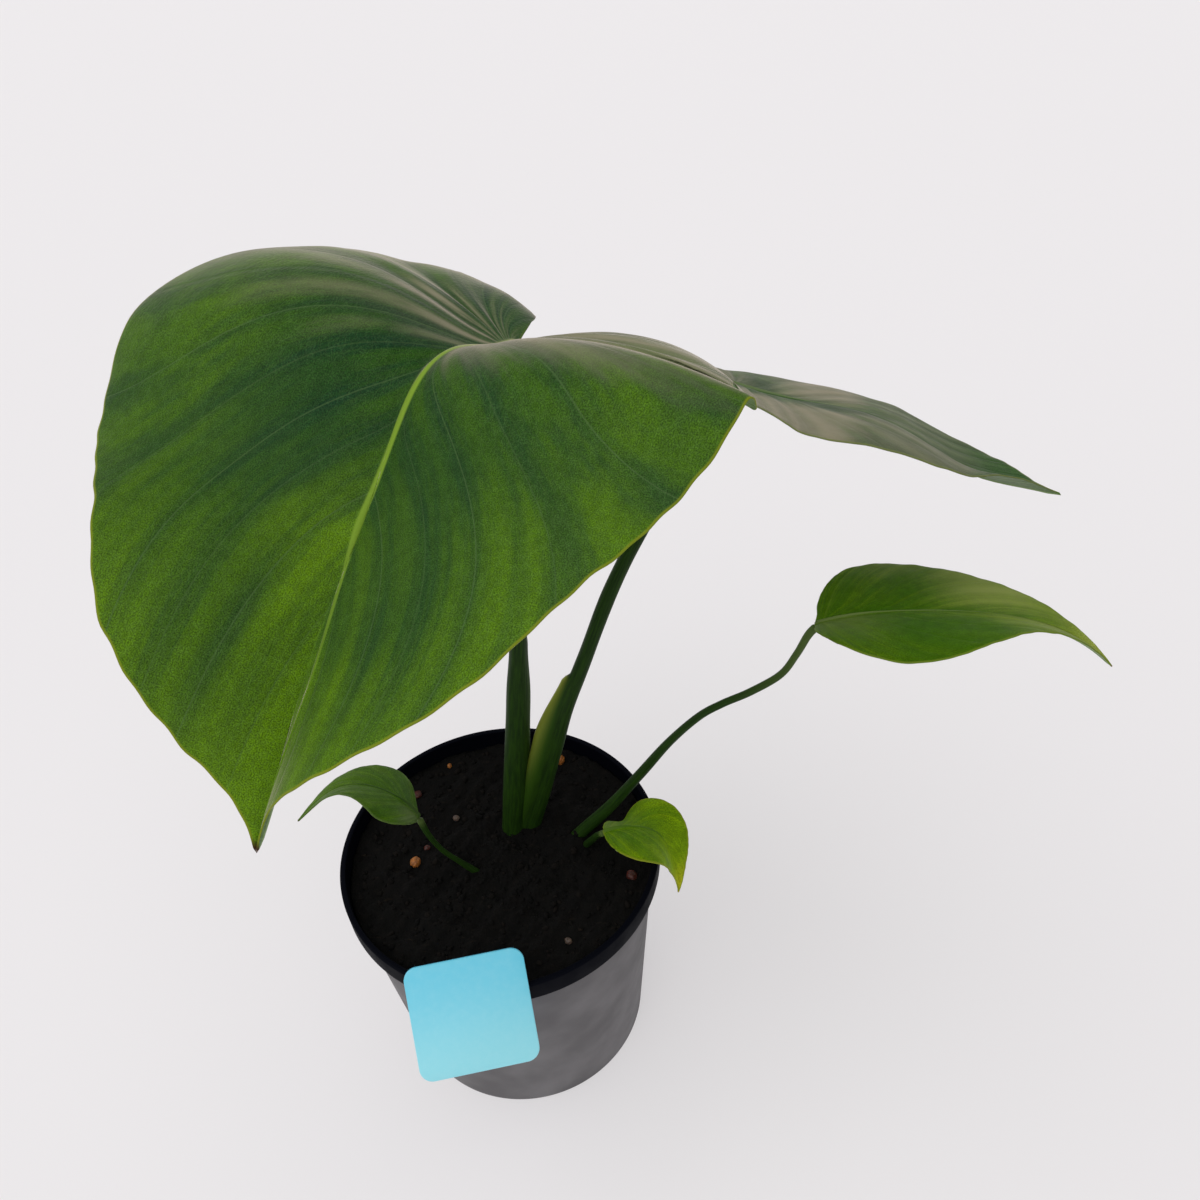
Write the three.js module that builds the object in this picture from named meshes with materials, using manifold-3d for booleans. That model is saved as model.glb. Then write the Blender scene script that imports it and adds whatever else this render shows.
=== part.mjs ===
// A young swiss cheese plant in a round nursery pot: five arched heart-shaped leaves on
// their stalks, potting mix with a few feed beads on it, and a plain card clipped to the rim.
// Millimetres and degrees. The origin is the middle of the pot's underside, and +Z is up.

import * as THREE from 'three';
import { mergeVertices } from 'three/addons/utils/BufferGeometryUtils.js';
import Module from 'manifold-3d';

const wasm = await Module();
wasm.setup();

const GAP = 0.3;                // clearance between neighbouring pieces
const WIDE_GAP = 0.45;          // the same, where faces are coarse

// Pot
const POT_HEIGHT = 90;
const RIM_RADIUS = 52.5;
const RIM_HEIGHT = 8;
const RIM_THICK = 1.9;
const RIM_ROUND = 0.9;          // rounding of the rim's outer edge
const RIM_DRAFT = 0.2;
const WALL = 1.4;
const WALL_TOP_RADIUS = 49.8;
const BASE_RADIUS = 42;
const FLOOR = 2.2;
const FLOOR_ROUND = 1.6;
const LEDGE = 1;                // the inside steps in below the rim over twice this height
const BASE_RECESS = 1;
const FOOT_WIDTH = 4;
const CENTRE_PAD_RADIUS = 18;
const DRAIN_HOLES = 6;
const DRAIN_RADIUS = 4;
const DRAIN_CIRCLE = 29;
const ROUND_SIDES = 72;

// Potting mix
const SOIL_LEVEL = 84;
const SOIL_BUMP = 0.9;
const SOIL_RINGS = 9;
const SOIL_SIDES = 60;
const STALK_DEPTH = 18;         // how deep the stalks stand in the mix
const SHEATH_LIP = 0.2;         // share of a sheath's length over which it rises from its top end
const SHEATH_TAPER = 0.5;       // and what it loses again down to its foot

// Card on the rim
const CARD_WIDTH = 35.6;
const CARD_HEIGHT = 33.8;
const CARD_THICK = 1.2;
const CARD_CORNER = 4;
const CARD_FACE = [-8.5, -57.9, 87.5];   // middle of its front face
const CARD_SLOPE = 48;                 // from level
const CARD_TURN = 7;                   // about the upright
const CLIP_ANGLE = -9.5;               // place round the rim, from the front
const CLIP_WIDTH = 14;
const CLIP_THICK = 0.9;
const CLIP_OUTER_DROP = 9.5;
const CLIP_INNER_DROP = 4;
const GUSSET = 3;

// Leaves. Lengths along a blade are shares of its length, from the stalk (0) to the tip (1).
const BLADE_THICK = 0.8;
const FRAME_START = -0.45;
const FRAME_END = 1.1;
const FRAME_STEP = 0.01;
const BEND_SPAN = 0.45;         // the cross-section bends by its "bend" angle over this share
const VEIN_CLOSE = 0.03;        // stretch of the midrib from which the veins of the lobe fan out
const VEIN_LOBE = 0.3;          // share of the outline that they reach
const VEIN_SPREAD = 2.8;        // how fast the later veins part
const VEIN_LEAN = 0.25;         // a side vein leaves the midrib outwards and then turns forwards
const VEIN_REACH = 0.75;
const TIP_BLEND = 2.5;          // half width under which the faces run square to the midrib
const MARGIN_GROWTH = 1.5;      // a grown copy reaches past the margin by this many times as much
const WAVES = 1.8;              // of the margin, on each side
const WAVE_START = 0.235;
const OUTLINE_STEPS = 120;
const CLOSE_SHARE = 0.35;       // how far the rows crowd where the outline's points lie close

// Half outlines, as [along, across]: from the notch at the stalk round the lobe to the tip
const HEART = [
  [-0.01, 0], [-0.06, 0.05], [-0.12, 0.125], [-0.18, 0.21], [-0.235, 0.305], [-0.195, 0.41],
  [-0.065, 0.5], [0.1, 0.555], [0.265, 0.55], [0.42, 0.485], [0.57, 0.385], [0.725, 0.295],
  [0.84, 0.18], [0.915, 0.085], [0.965, 0.035], [1, 0],
];
const OVAL = [
  [-0.01, 0], [0, 0.045], [0.005, 0.1], [0.03, 0.17], [0.075, 0.245], [0.14, 0.3], [0.235, 0.33],
  [0.34, 0.32], [0.465, 0.272], [0.595, 0.198], [0.72, 0.13], [0.84, 0.065], [0.935, 0.025], [1, 0],
];

// Each blade's pose is read at a few places along it. Pitch is the midrib's climb, heading its
// compass angle from +Y towards +X, roll its turn about the midrib. Tilt and bend shape the
// cross-section: each half starts at the tilt and curls down by the bend.
const LEAVES = {
  large: {
    length: 143.7, at: [25, 19.2, 261.6], outline: HEART, width: 1.05,
    pitch: [
      [-0.3, 79], [-0.12, 29], [0, 13.7], [0.1, 24], [0.18, 2], [0.3, -38], [0.55, -27], [0.8, -41], [1, -43],
    ],
    heading: [
      [-0.3, -129], [-0.12, -116.5], [0, -124.7], [0.12, -136], [0.25, -150], [0.5, -154], [1, -151],
    ],
    roll: [[-0.3, -16.6], [-0.12, -14.6], [0, -9.5], [0.3, 5], [0.65, 16], [1, -17]],
    tiltLeft: [[-0.25, 24], [-0.1, 20], [0, 20.7], [0.1, 22.6], [0.5, 40.5], [1, 53]],
    bendLeft: [[-0.25, 75], [-0.1, 33], [0, 25], [0.1, 27], [0.5, 24.5], [1, 49]],
    tiltRight: [[-0.25, -20], [-0.1, 22], [0, 25], [0.1, 30.5], [0.5, 15], [1, 52]],
    bendRight: [[-0.25, -72], [-0.1, 27.5], [0, 27.5], [0.1, 37], [0.5, 31], [1, 20]],
    veins: 8, cells: 8, pleat: 0.8, wave: 1, colour: 0x3f7427,
    // Stalk: [x, y, z, radius]
    stalk: [
      [4.2, 13.2, 84, 4.1], [9.4, 14.4, 122, 3.7], [12.4, 15, 145, 3.3], [15, 15.6, 165, 2.7],
      [19, 16.5, 197, 2.5], [22.2, 17.4, 232, 2.4], [24.6, 18.9, 257, 2.3], [25, 19.2, 261.2, 2.3],
    ],
    stalkSides: 14, stalkSteps: 22,
    sheath: { from: 66, to: 168, height: 1.1, towards: 20, sharp: 6 },
  },
  behind: {
    length: 99.9, at: [83.5, 52.8, 223.8], outline: HEART, width: 0.98,
    pitch: [[-0.3, -7], [0, -20], [0.3, -6], [0.6, -33], [0.85, -5], [1, -10]],
    heading: [[-0.3, 98], [0, 99], [0.5, 112], [1, 113]],
    roll: [[-0.3, 26], [0, 27], [0.3, 25], [0.65, 24], [1, 25]],
    tiltLeft: [[-0.25, 3], [0.1, 7], [0.5, 3], [1, 16]],
    bendLeft: [[-0.25, 12], [0.1, 10], [0.5, 13], [1, 8]],
    tiltRight: [[-0.25, 5], [0.1, 5], [0.5, 9], [1, 20]],
    bendRight: [[-0.25, 11], [0.1, 11], [0.5, 12], [1, 5]],
    veins: 7, cells: 7, pleat: 0.8, wave: 0.6, colour: 0x4c6b44,
    stalk: [
      [10.2, 13.6, 84, 3.4], [16.2, 13.9, 103, 3], [21.3, 14.4, 119, 2.7], [26.6, 15.8, 136, 2.5],
      [34, 19.7, 152.5, 2.4], [44, 27, 173, 2.3], [56, 34.5, 192, 2.3], [70, 43.5, 209.5, 2.2],
      [80.5, 50.8, 221, 2.2], [82.6, 52.2, 223, 2.1],
    ],
    stalkSides: 16, stalkSteps: 26,
    sheath: { from: 66, to: 147, height: 5, towards: 200, sharp: 5 },
  },
  right: {
    length: 92.2, at: [100.5, 0, 176.2], outline: OVAL, width: 1.06,
    pitch: [[-0.2, 35], [0, 21], [0.25, 1], [0.55, -13], [0.8, -34], [1, -52]],
    heading: [[-0.2, 101], [0, 98], [0.5, 94], [1, 97]],
    roll: [[-0.2, 3], [0, 16], [0.5, 13], [1, 4]],
    tiltLeft: [[-0.1, 17], [0.2, 9], [0.6, 3], [1, 11]],
    bendLeft: [[-0.1, 12], [0.2, 18], [0.6, 12], [1, 9]],
    tiltRight: [[-0.1, 30], [0.2, 10], [0.6, 24], [1, 12]],
    bendRight: [[-0.1, 12], [0.2, 20], [0.6, 12], [1, 8]],
    veins: 6, cells: 5, pleat: 0.5, wave: 0.3, colour: 0x3a6a1c,
    stalk: [
      [26.4, 7, 84, 2.2], [37.3, 6, 97.8, 1.9], [48.2, 5, 114.1, 1.6], [57.5, 4, 128.6, 1.35],
      [66.6, 3, 139.8, 1.2], [73.8, 2.5, 145.1, 1.15], [82.1, 2, 149.6, 1.15], [90.7, 1.3, 156.3, 1.1],
      [95, 0.8, 164.4, 1.1], [98, 0.3, 172.2, 1.15], [100.3, 0, 175.8, 1.2],
    ],
    stalkSides: 10, stalkSteps: 30,
  },
  small_right: {
    length: 40.5, at: [35, -15.7, 112.2], outline: OVAL, width: 1.2,
    pitch: [[-0.2, 22], [0, 9], [0.25, -14], [0.5, -64], [0.75, -66], [1, -36]],
    heading: [[-0.2, 75], [0, 81], [0.5, 105], [1, 195]],
    roll: [[-0.2, 5], [0, 18], [0.5, 5], [1, 41]],
    tiltLeft: [[-0.1, 7], [0.2, -17], [0.6, 29], [1, 7]],
    bendLeft: [[-0.1, 22], [0.2, 33], [0.6, 8], [1, 10]],
    tiltRight: [[-0.1, 8], [0.2, 12], [0.6, 24], [1, 31]],
    bendRight: [[-0.1, 28], [0.2, 22], [0.6, 16], [1, 9]],
    veins: 5, cells: 4, pleat: 0.25, wave: 0.15, colour: 0x5f8f1f,
    stalk: [
      [28.5, 2.2, 84, 1.3], [30.5, -3.5, 93.5, 1.1], [32.6, -10, 104, 1], [34.6, -14.9, 111.2, 1],
    ],
    stalkSides: 8, stalkSteps: 12,
  },
  small_left: {
    length: 43.7, at: [-22.1, -6.3, 116.6], outline: OVAL, width: 1,
    pitch: [[-0.2, 51], [0, 48], [0.25, 29], [0.5, 9], [0.75, -26], [1, -20]],
    heading: [[-0.2, -80], [0, -54], [0.5, -90], [1, -130]],
    roll: [[-0.2, -25], [0, -38], [0.5, -16], [1, -29]],
    tiltLeft: [[-0.1, 19], [0.2, 6], [0.6, 21], [1, 16]],
    bendLeft: [[-0.1, 19], [0.2, 23], [0.6, 13], [1, 11]],
    tiltRight: [[-0.1, -18], [0.2, 2], [0.6, 0], [1, -2]],
    bendRight: [[-0.1, 19], [0.2, 12], [0.6, 15], [1, 10]],
    veins: 5, cells: 4, pleat: 0.25, wave: 0.15, colour: 0x386420,
    stalk: [
      [-8.8, -4.4, 84, 1.4], [-13.2, -5.1, 91.2, 1.2], [-17.4, -5.7, 98.6, 1.1], [-20.2, -6.1, 107, 1],
      [-21.8, -6.3, 116, 1.1],
    ],
    stalkSides: 8, stalkSteps: 14,
  },
};

// Feed beads and chips on the mix: [x, y, radius, flatness, colour]
const BEADS = [
  [-18.8, 42.5, 1.1, 1, 0x9a4a24],
  [-29.7, 30.1, 1.7, 0.6, 0x6b2a1c],
  [-15.7, 18.3, 1.2, 0.8, 0xb09a88],
  [-28.9, 1.5, 1.9, 1, 0xb8672c],
  [-25.2, 6.8, 1.1, 0.8, 0x7a3020],
  [20.9, 39.9, 1.8, 1, 0xb85a14],
  [42.2, -11.6, 2, 0.8, 0x57201c],
  [20.6, -33.6, 1.2, 0.8, 0x6e4a38],
];
const BEAD_SINK = 0.45;         // share of the radius that lies below the mix's surface

const rad = THREE.MathUtils.degToRad;

// Curves

// Smooth value at t through [place, value] pairs
function smooth(pairs, t) {
  const last = pairs.length - 1;
  let i = 0;
  while (i < last - 1 && t > pairs[i + 1][0]) i += 1;
  const slope = (a, b) => (pairs[b][1] - pairs[a][1]) / (pairs[b][0] - pairs[a][0]);
  const tangent = (k) => slope(Math.max(k - 1, 0), Math.min(k + 1, last));
  const h = pairs[i + 1][0] - pairs[i][0];
  const u = THREE.MathUtils.clamp((t - pairs[i][0]) / h, 0, 1);
  const v = 1 - u;
  return (1 + 2 * u) * v * v * pairs[i][1] + u * v * v * h * tangent(i)
    + u * u * (3 - 2 * u) * pairs[i + 1][1] - u * u * v * h * tangent(i + 1);
}

// Point at share u of a Catmull-Rom curve through plain [a, b] points
function along(points, u) {
  const last = points.length - 1;
  const place = THREE.MathUtils.clamp(u, 0, 1) * last;
  const i = Math.min(Math.floor(place), last - 1);
  const f = place - i;
  const before = i > 0 ? points[i - 1] : points[0].map((c, k) => 2 * c - points[1][k]);
  const end = points[last];
  const after = i + 2 <= last ? points[i + 2] : end.map((c, k) => 2 * c - points[last - 1][k]);
  return points[i].map((p, k) => {
    const [a, b, c] = [before[k], points[i + 1][k], after[k]];
    const bow = (2 * a - 5 * p + 4 * b - c) * f * f;
    return 0.5 * (2 * p + (b - a) * f + bow + (3 * p - a - 3 * b + c) * f ** 3);
  });
}

// Solids

function toGeometry(positions, triangles) {
  const geometry = new THREE.BufferGeometry();
  geometry.setAttribute('position', new THREE.Float32BufferAttribute(positions, 3));
  geometry.setIndex(triangles);
  return geometry;
}

function toManifold(source) {
  let geometry = source.clone();
  geometry.deleteAttribute('normal');
  geometry.deleteAttribute('uv');
  geometry = mergeVertices(geometry, 1e-4);
  return new wasm.Manifold(new wasm.Mesh({
    numProp: 3,
    vertProperties: new Float32Array(geometry.attributes.position.array),
    triVerts: new Uint32Array(geometry.index.array),
  }));
}

function fromManifold(solid) {
  const mesh = solid.getMesh();
  return toGeometry(Array.from(mesh.vertProperties), Array.from(mesh.triVerts));
}

// The largest piece, where a cut leaves a scrap
function largest(solid) {
  return solid.decompose().reduce((a, b) => (b.volume() > a.volume() ? b : a));
}

// Blades

class Blade {
  constructor(leaf) {
    this.leaf = leaf;
    this.frames = [];
    const count = Math.round((FRAME_END - FRAME_START) / FRAME_STEP);
    for (let k = 0; k <= count; k += 1) {
      const s = FRAME_START + k * FRAME_STEP;
      const pitch = rad(smooth(leaf.pitch, s));
      const heading = rad(smooth(leaf.heading, s));
      const roll = rad(smooth(leaf.roll, s));
      const forward = new THREE.Vector3(
        Math.cos(pitch) * Math.sin(heading), Math.cos(pitch) * Math.cos(heading), Math.sin(pitch));
      const level = new THREE.Vector3(Math.cos(heading), -Math.sin(heading), 0);
      const upright = level.clone().cross(forward);
      const across = level.clone().multiplyScalar(Math.cos(roll)).addScaledVector(upright, Math.sin(roll));
      const normal = upright.multiplyScalar(Math.cos(roll)).addScaledVector(level, -Math.sin(roll));
      this.frames.push({ forward, across, normal, place: new THREE.Vector3() });
    }
    this.layMidrib();
    this.walkOutline();
  }

  // Adds up the forward steps, then moves the whole line so that 0 lies at the stalk
  layMidrib() {
    const { frames, leaf } = this;
    for (let k = 1; k < frames.length; k += 1) {
      const step = frames[k].forward.clone().add(frames[k - 1].forward);
      frames[k].place.copy(frames[k - 1].place).addScaledVector(step, 0.5 * FRAME_STEP * leaf.length);
    }
    const zero = Math.round(-FRAME_START / FRAME_STEP);
    const shift = new THREE.Vector3(...leaf.at).sub(frames[zero].place);
    frames.forEach((frame) => frame.place.add(shift));
  }

  // Length of the outline up to each of many steps, from the notch to the tip
  walkOutline() {
    this.walked = [0];
    for (let k = 1; k <= OUTLINE_STEPS; k += 1) {
      const [a, b] = [k - 1, k].map((n) => along(this.leaf.outline, n / OUTLINE_STEPS));
      const step = Math.hypot(b[0] - a[0], b[1] - a[1]) + CLOSE_SHARE / OUTLINE_STEPS;
      this.walked.push(this.walked[k - 1] + step);
    }
  }

  // The outline's own share at which the walk along it has come to share t
  outlineShare(t) {
    const goal = t * this.walked[OUTLINE_STEPS];
    let k = 1;
    while (k < OUTLINE_STEPS && this.walked[k] < goal) k += 1;
    const [a, b] = [this.walked[k - 1], this.walked[k]];
    return (k - 1 + (goal - a) / (b - a)) / OUTLINE_STEPS;
  }

  frame(s) {
    const last = this.frames.length - 1;
    const spot = THREE.MathUtils.clamp((s - FRAME_START) / FRAME_STEP, 0, last);
    const k = Math.min(Math.floor(spot), last - 1);
    const [a, b] = [this.frames[k], this.frames[k + 1]];
    const mix = (name) => a[name].clone().lerp(b[name], spot - k);
    return { place: mix('place'), across: mix('across'), normal: mix('normal') };
  }

  // Point of the bent blade for its flat place: s along, w across (over 0 on the right hand)
  point(s, w) {
    const { leaf } = this;
    const { place, across, normal } = this.frame(s);
    const right = w >= 0;
    const tilt = rad(smooth(right ? leaf.tiltRight : leaf.tiltLeft, s));
    const curl = rad(smooth(right ? leaf.bendRight : leaf.bendLeft, s)) / (BEND_SPAN * leaf.length);
    const bend = Math.abs(curl) < 1e-6 ? 1e-6 : curl;
    const end = tilt - bend * Math.abs(w) * leaf.length;
    const out = (Math.sin(tilt) - Math.sin(end)) / bend;
    const rise = (Math.cos(end) - Math.cos(tilt)) / bend;
    return place.addScaledVector(across, right ? out : -out).addScaledVector(normal, rise);
  }

  // Flat place at share f along the side vein that meets the outline at share t of the walk
  veinPlace(side, t, f) {
    const u = this.outlineShare(t);
    const past = Math.max((u - VEIN_LOBE) / (1 - VEIN_LOBE), 0);
    const start = VEIN_CLOSE * u + (1 - VEIN_CLOSE) * past ** VEIN_SPREAD;
    const [s, w] = along(this.leaf.outline, u);
    const edge = side * this.leaf.width * w;
    const g = 1 - f;
    return [
      g * g * start + 2 * f * g * (start + VEIN_LEAN * (s - start)) + f * f * s,
      2 * f * g * VEIN_REACH * edge + f * f * edge,
    ];
  }

  // Height of the pleats between the sunken veins, and of the waves of the margin
  relief(side, t, f) {
    const { veins, pleat, wave } = this.leaf;
    const fade = Math.sin(Math.PI * Math.min(t, 0.98)) ** 0.5;
    const pleats = -Math.cos(2 * Math.PI * veins * t) * Math.sin(Math.PI * Math.sqrt(f));
    const waves = side * f ** 3 * Math.sin(2 * Math.PI * WAVES * (t - WAVE_START));
    return fade * (pleat * pleats + wave * waves);
  }

  // Middle surface: rows from the notch to the tip, columns from the left margin to the right
  grid() {
    const { veins, cells } = this.leaf;
    const rows = 4 * veins;
    const surface = [];
    for (let i = 0; i <= rows; i += 1) {
      const row = [];
      for (let j = -cells; j <= cells; j += 1) {
        const side = j < 0 ? -1 : 1;
        const f = Math.abs(j) / cells;
        const [s, w] = this.veinPlace(side, i / rows, f);
        const lift = this.relief(side, i / rows, f);
        row.push({ s, w, point: this.point(s, w).addScaledVector(this.frame(s).normal, lift) });
      }
      surface.push(row);
    }
    return surface;
  }

  // Closed solid round the middle surface, grown by extra on both faces and past its margin
  solid(extra = 0) {
    const surface = this.grid();
    const rows = surface.length - 1;
    const cols = surface[0].length - 1;
    const half = BLADE_THICK / 2 + extra;
    const positions = [];
    const ids = [[], []];
    for (let i = 0; i <= rows; i += 1) {
      const pole = i === 0 || i === rows;
      for (let face = 0; face < 2; face += 1) {
        ids[face][i] = [];
        for (let j = 0; j <= cols; j += 1) {
          if (pole && j > 0) {
            ids[face][i][j] = ids[face][i][0];
            continue;
          }
          const k = pole ? cols / 2 : j;
          const spot = surface[i][k].point.clone();
          spot.addScaledVector(this.faceNormal(surface, i, k), face ? -half : half);
          spot.addScaledVector(this.outward(surface, i, k), MARGIN_GROWTH * extra);
          ids[face][i][j] = positions.length / 3;
          positions.push(spot.x, spot.y, spot.z);
        }
      }
    }
    return toGeometry(positions, this.triangles(ids, rows, cols));
  }

  // Normal from the neighbours, which turns to the midrib's own where the blade is narrow
  faceNormal(surface, i, j) {
    const rows = surface.length - 1;
    const cols = surface[0].length - 1;
    const { s } = surface[i][j];
    const base = this.frame(s).normal.normalize();
    if (i === 0 || i === rows) return base;
    const span = (a, b) => surface[b[0]][b[1]].point.clone().sub(surface[a[0]][a[1]].point);
    const acrossStep = span([i, Math.max(j - 1, 0)], [i, Math.min(j + 1, cols)]);
    const alongStep = span([i - 1, j], [i + 1, j]);
    const local = acrossStep.cross(alongStep).normalize();
    if (local.dot(base) < 0.2) return base;
    const edge = Math.abs(surface[i][cols].w) * this.leaf.length;
    return base.lerp(local, THREE.MathUtils.smoothstep(edge, 0, TIP_BLEND)).normalize();
  }

  // Direction in which the margin faces, and nothing inside it
  outward(surface, i, j) {
    const rows = surface.length - 1;
    const cols = surface[0].length - 1;
    const from = surface[i][j].point;
    const away = new THREE.Vector3();
    if (i === 0 || i === rows) away.copy(from).sub(surface[i === 0 ? 1 : rows - 1][j].point);
    else if (j === 0 || j === cols) away.copy(from).sub(surface[i][j === 0 ? 1 : cols - 1].point);
    return away.normalize();
  }

  triangles(ids, rows, cols) {
    const list = [];
    const add = (a, b, c) => {
      if (a !== b && b !== c && c !== a) list.push(a, b, c);
    };
    const quad = (a, b, c, d) => {
      add(a, b, c);
      add(a, c, d);
    };
    const [top, under] = ids;
    for (let i = 0; i < rows; i += 1) {
      for (let j = 0; j < cols; j += 1) {
        // Both faces share a diagonal, and the two halves mirror each other
        if (j >= cols / 2) {
          quad(top[i][j + 1], top[i + 1][j + 1], top[i + 1][j], top[i][j]);
          quad(under[i + 1][j], under[i + 1][j + 1], under[i][j + 1], under[i][j]);
        } else {
          quad(top[i][j], top[i][j + 1], top[i + 1][j + 1], top[i + 1][j]);
          quad(under[i + 1][j + 1], under[i][j + 1], under[i][j], under[i + 1][j]);
        }
      }
      quad(top[i][0], top[i + 1][0], under[i + 1][0], under[i][0]);
      quad(under[i][cols], under[i + 1][cols], top[i + 1][cols], top[i][cols]);
    }
    return list;
  }
}

// Stalks

// Tapered round stalk along its points, with the sheath's ridge on one side, made wider by extra.
// It runs on straight into the mix and ends level there.
function stalkSolid(leaf, extra = 0) {
  const [foot, next] = leaf.stalk;
  const lean = new THREE.Vector3(next[0] - foot[0], next[1] - foot[1], next[2] - foot[2]);
  lean.divideScalar(lean.z);
  const depth = STALK_DEPTH + 4;
  const buried = [foot[0] - lean.x * depth, foot[1] - lean.y * depth, foot[2] - depth];
  const knots = [[...buried, foot[3] * 0.9], ...leaf.stalk];
  const curve = new THREE.CatmullRomCurve3(knots.map(([x, y, z]) => new THREE.Vector3(x, y, z)));
  const steps = leaf.stalkSteps;
  const sides = leaf.stalkSides;
  const positions = [];
  for (let i = 0; i <= steps; i += 1) {
    const t = i / steps;
    const centre = curve.getPoint(t);
    const forward = curve.getTangent(t);
    const right = new THREE.Vector3(1, 0, 0).addScaledVector(forward, -forward.x).normalize();
    const back = forward.clone().cross(right);
    const radius = smooth(knots.map((knot, k) => [k / (knots.length - 1), knot[3]]), t) + extra;
    for (let k = 0; k < sides; k += 1) {
      const angle = (2 * Math.PI * k) / sides;
      const reach = radius + sheathRidge(leaf.sheath, centre.z, angle);
      const spot = centre.clone().addScaledVector(right, reach * Math.cos(angle));
      spot.addScaledVector(back, reach * Math.sin(angle));
      positions.push(spot.x, spot.y, spot.z);
    }
  }
  positions.push(...curve.getPoint(0), ...curve.getPoint(1));
  const tube = toGeometry(positions, tubeFaces(steps, sides));
  return toManifold(tube).trimByPlane([0, 0, 1], SOIL_LEVEL - STALK_DEPTH - extra);
}

function sheathRidge(sheath, z, angle) {
  if (!sheath || z >= sheath.to) return 0;
  const away = Math.cos(angle - rad(sheath.towards));
  if (away <= 0) return 0;
  const left = (sheath.to - z) / (sheath.to - sheath.from);
  const profile = THREE.MathUtils.smoothstep(left, 0, SHEATH_LIP) * (1 - SHEATH_TAPER * left);
  return sheath.height * profile * away ** sheath.sharp;
}

function tubeFaces(steps, sides) {
  const list = [];
  const foot = (steps + 1) * sides;
  for (let k = 0; k < sides; k += 1) {
    const n = (k + 1) % sides;
    list.push(foot, n, k);
    list.push(foot + 1, steps * sides + k, steps * sides + n);
    for (let i = 0; i < steps; i += 1) {
      const [a, b] = [i * sides, (i + 1) * sides];
      list.push(a + k, a + n, b + n, a + k, b + n, b + k);
    }
  }
  return list;
}

// Pot

function potSolid() {
  const shoulder = POT_HEIGHT - RIM_HEIGHT;
  const outer = (z) => BASE_RADIUS + ((WALL_TOP_RADIUS - BASE_RADIUS) * z) / shoulder;
  const inner = (z) => outer(z) - WALL;
  const rimInner = RIM_RADIUS - RIM_THICK;
  const footInner = BASE_RADIUS - FOOT_WIDTH;
  const profile = [
    [0, 0], [CENTRE_PAD_RADIUS, 0], [CENTRE_PAD_RADIUS + BASE_RECESS, BASE_RECESS],
    [footInner - BASE_RECESS, BASE_RECESS], [footInner, 0], [BASE_RADIUS - BASE_RECESS, 0],
    [outer(BASE_RECESS), BASE_RECESS],
    [outer(shoulder), shoulder], [RIM_RADIUS - RIM_ROUND + RIM_DRAFT, shoulder],
    [RIM_RADIUS - RIM_DRAFT, shoulder + RIM_ROUND], [RIM_RADIUS, POT_HEIGHT - RIM_ROUND],
    [RIM_RADIUS - RIM_ROUND * 0.4, POT_HEIGHT - RIM_ROUND * 0.3], [RIM_RADIUS - RIM_ROUND, POT_HEIGHT],
    [rimInner + RIM_ROUND * 0.6, POT_HEIGHT], [rimInner, POT_HEIGHT - RIM_ROUND * 0.7],
    [rimInner - RIM_DRAFT, shoulder + LEDGE], [inner(shoulder), shoulder - LEDGE],
    [inner(FLOOR), FLOOR + FLOOR_ROUND], [inner(FLOOR) - FLOOR_ROUND, FLOOR], [0, FLOOR],
  ];
  const points = profile.map(([r, z]) => new THREE.Vector2(r, z));
  let pot = toManifold(turned(points));
  for (let k = 0; k < DRAIN_HOLES; k += 1) {
    const angle = (2 * Math.PI * (k + 0.5)) / DRAIN_HOLES;
    const hole = new THREE.CylinderGeometry(DRAIN_RADIUS, DRAIN_RADIUS, 4 * FLOOR, 16);
    hole.rotateX(Math.PI / 2);
    hole.translate(DRAIN_CIRCLE * Math.cos(angle), DRAIN_CIRCLE * Math.sin(angle), 0);
    pot = pot.subtract(toManifold(hole));
  }
  return fromManifold(pot);
}

// A lathe about Z from [radius, height] points that start and end on the axis
function turned(points, sides = ROUND_SIDES) {
  const lathe = new THREE.LatheGeometry(points, sides);
  lathe.rotateX(Math.PI / 2);
  return lathe;
}

// Potting mix

function soilHeight(x, y) {
  const edge = THREE.MathUtils.smoothstep(Math.hypot(x, y), 38, 49);
  const bumps = Math.sin(0.31 * x + 1.3) * Math.cos(0.27 * y - 0.4) + 0.6 * Math.sin(0.52 * y + 0.23 * x)
    + 0.4 * Math.sin(0.83 * x - 0.61 * y + 2);
  return SOIL_LEVEL + SOIL_BUMP * bumps * (1 - 0.6 * edge) - 0.3 * edge;
}

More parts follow.
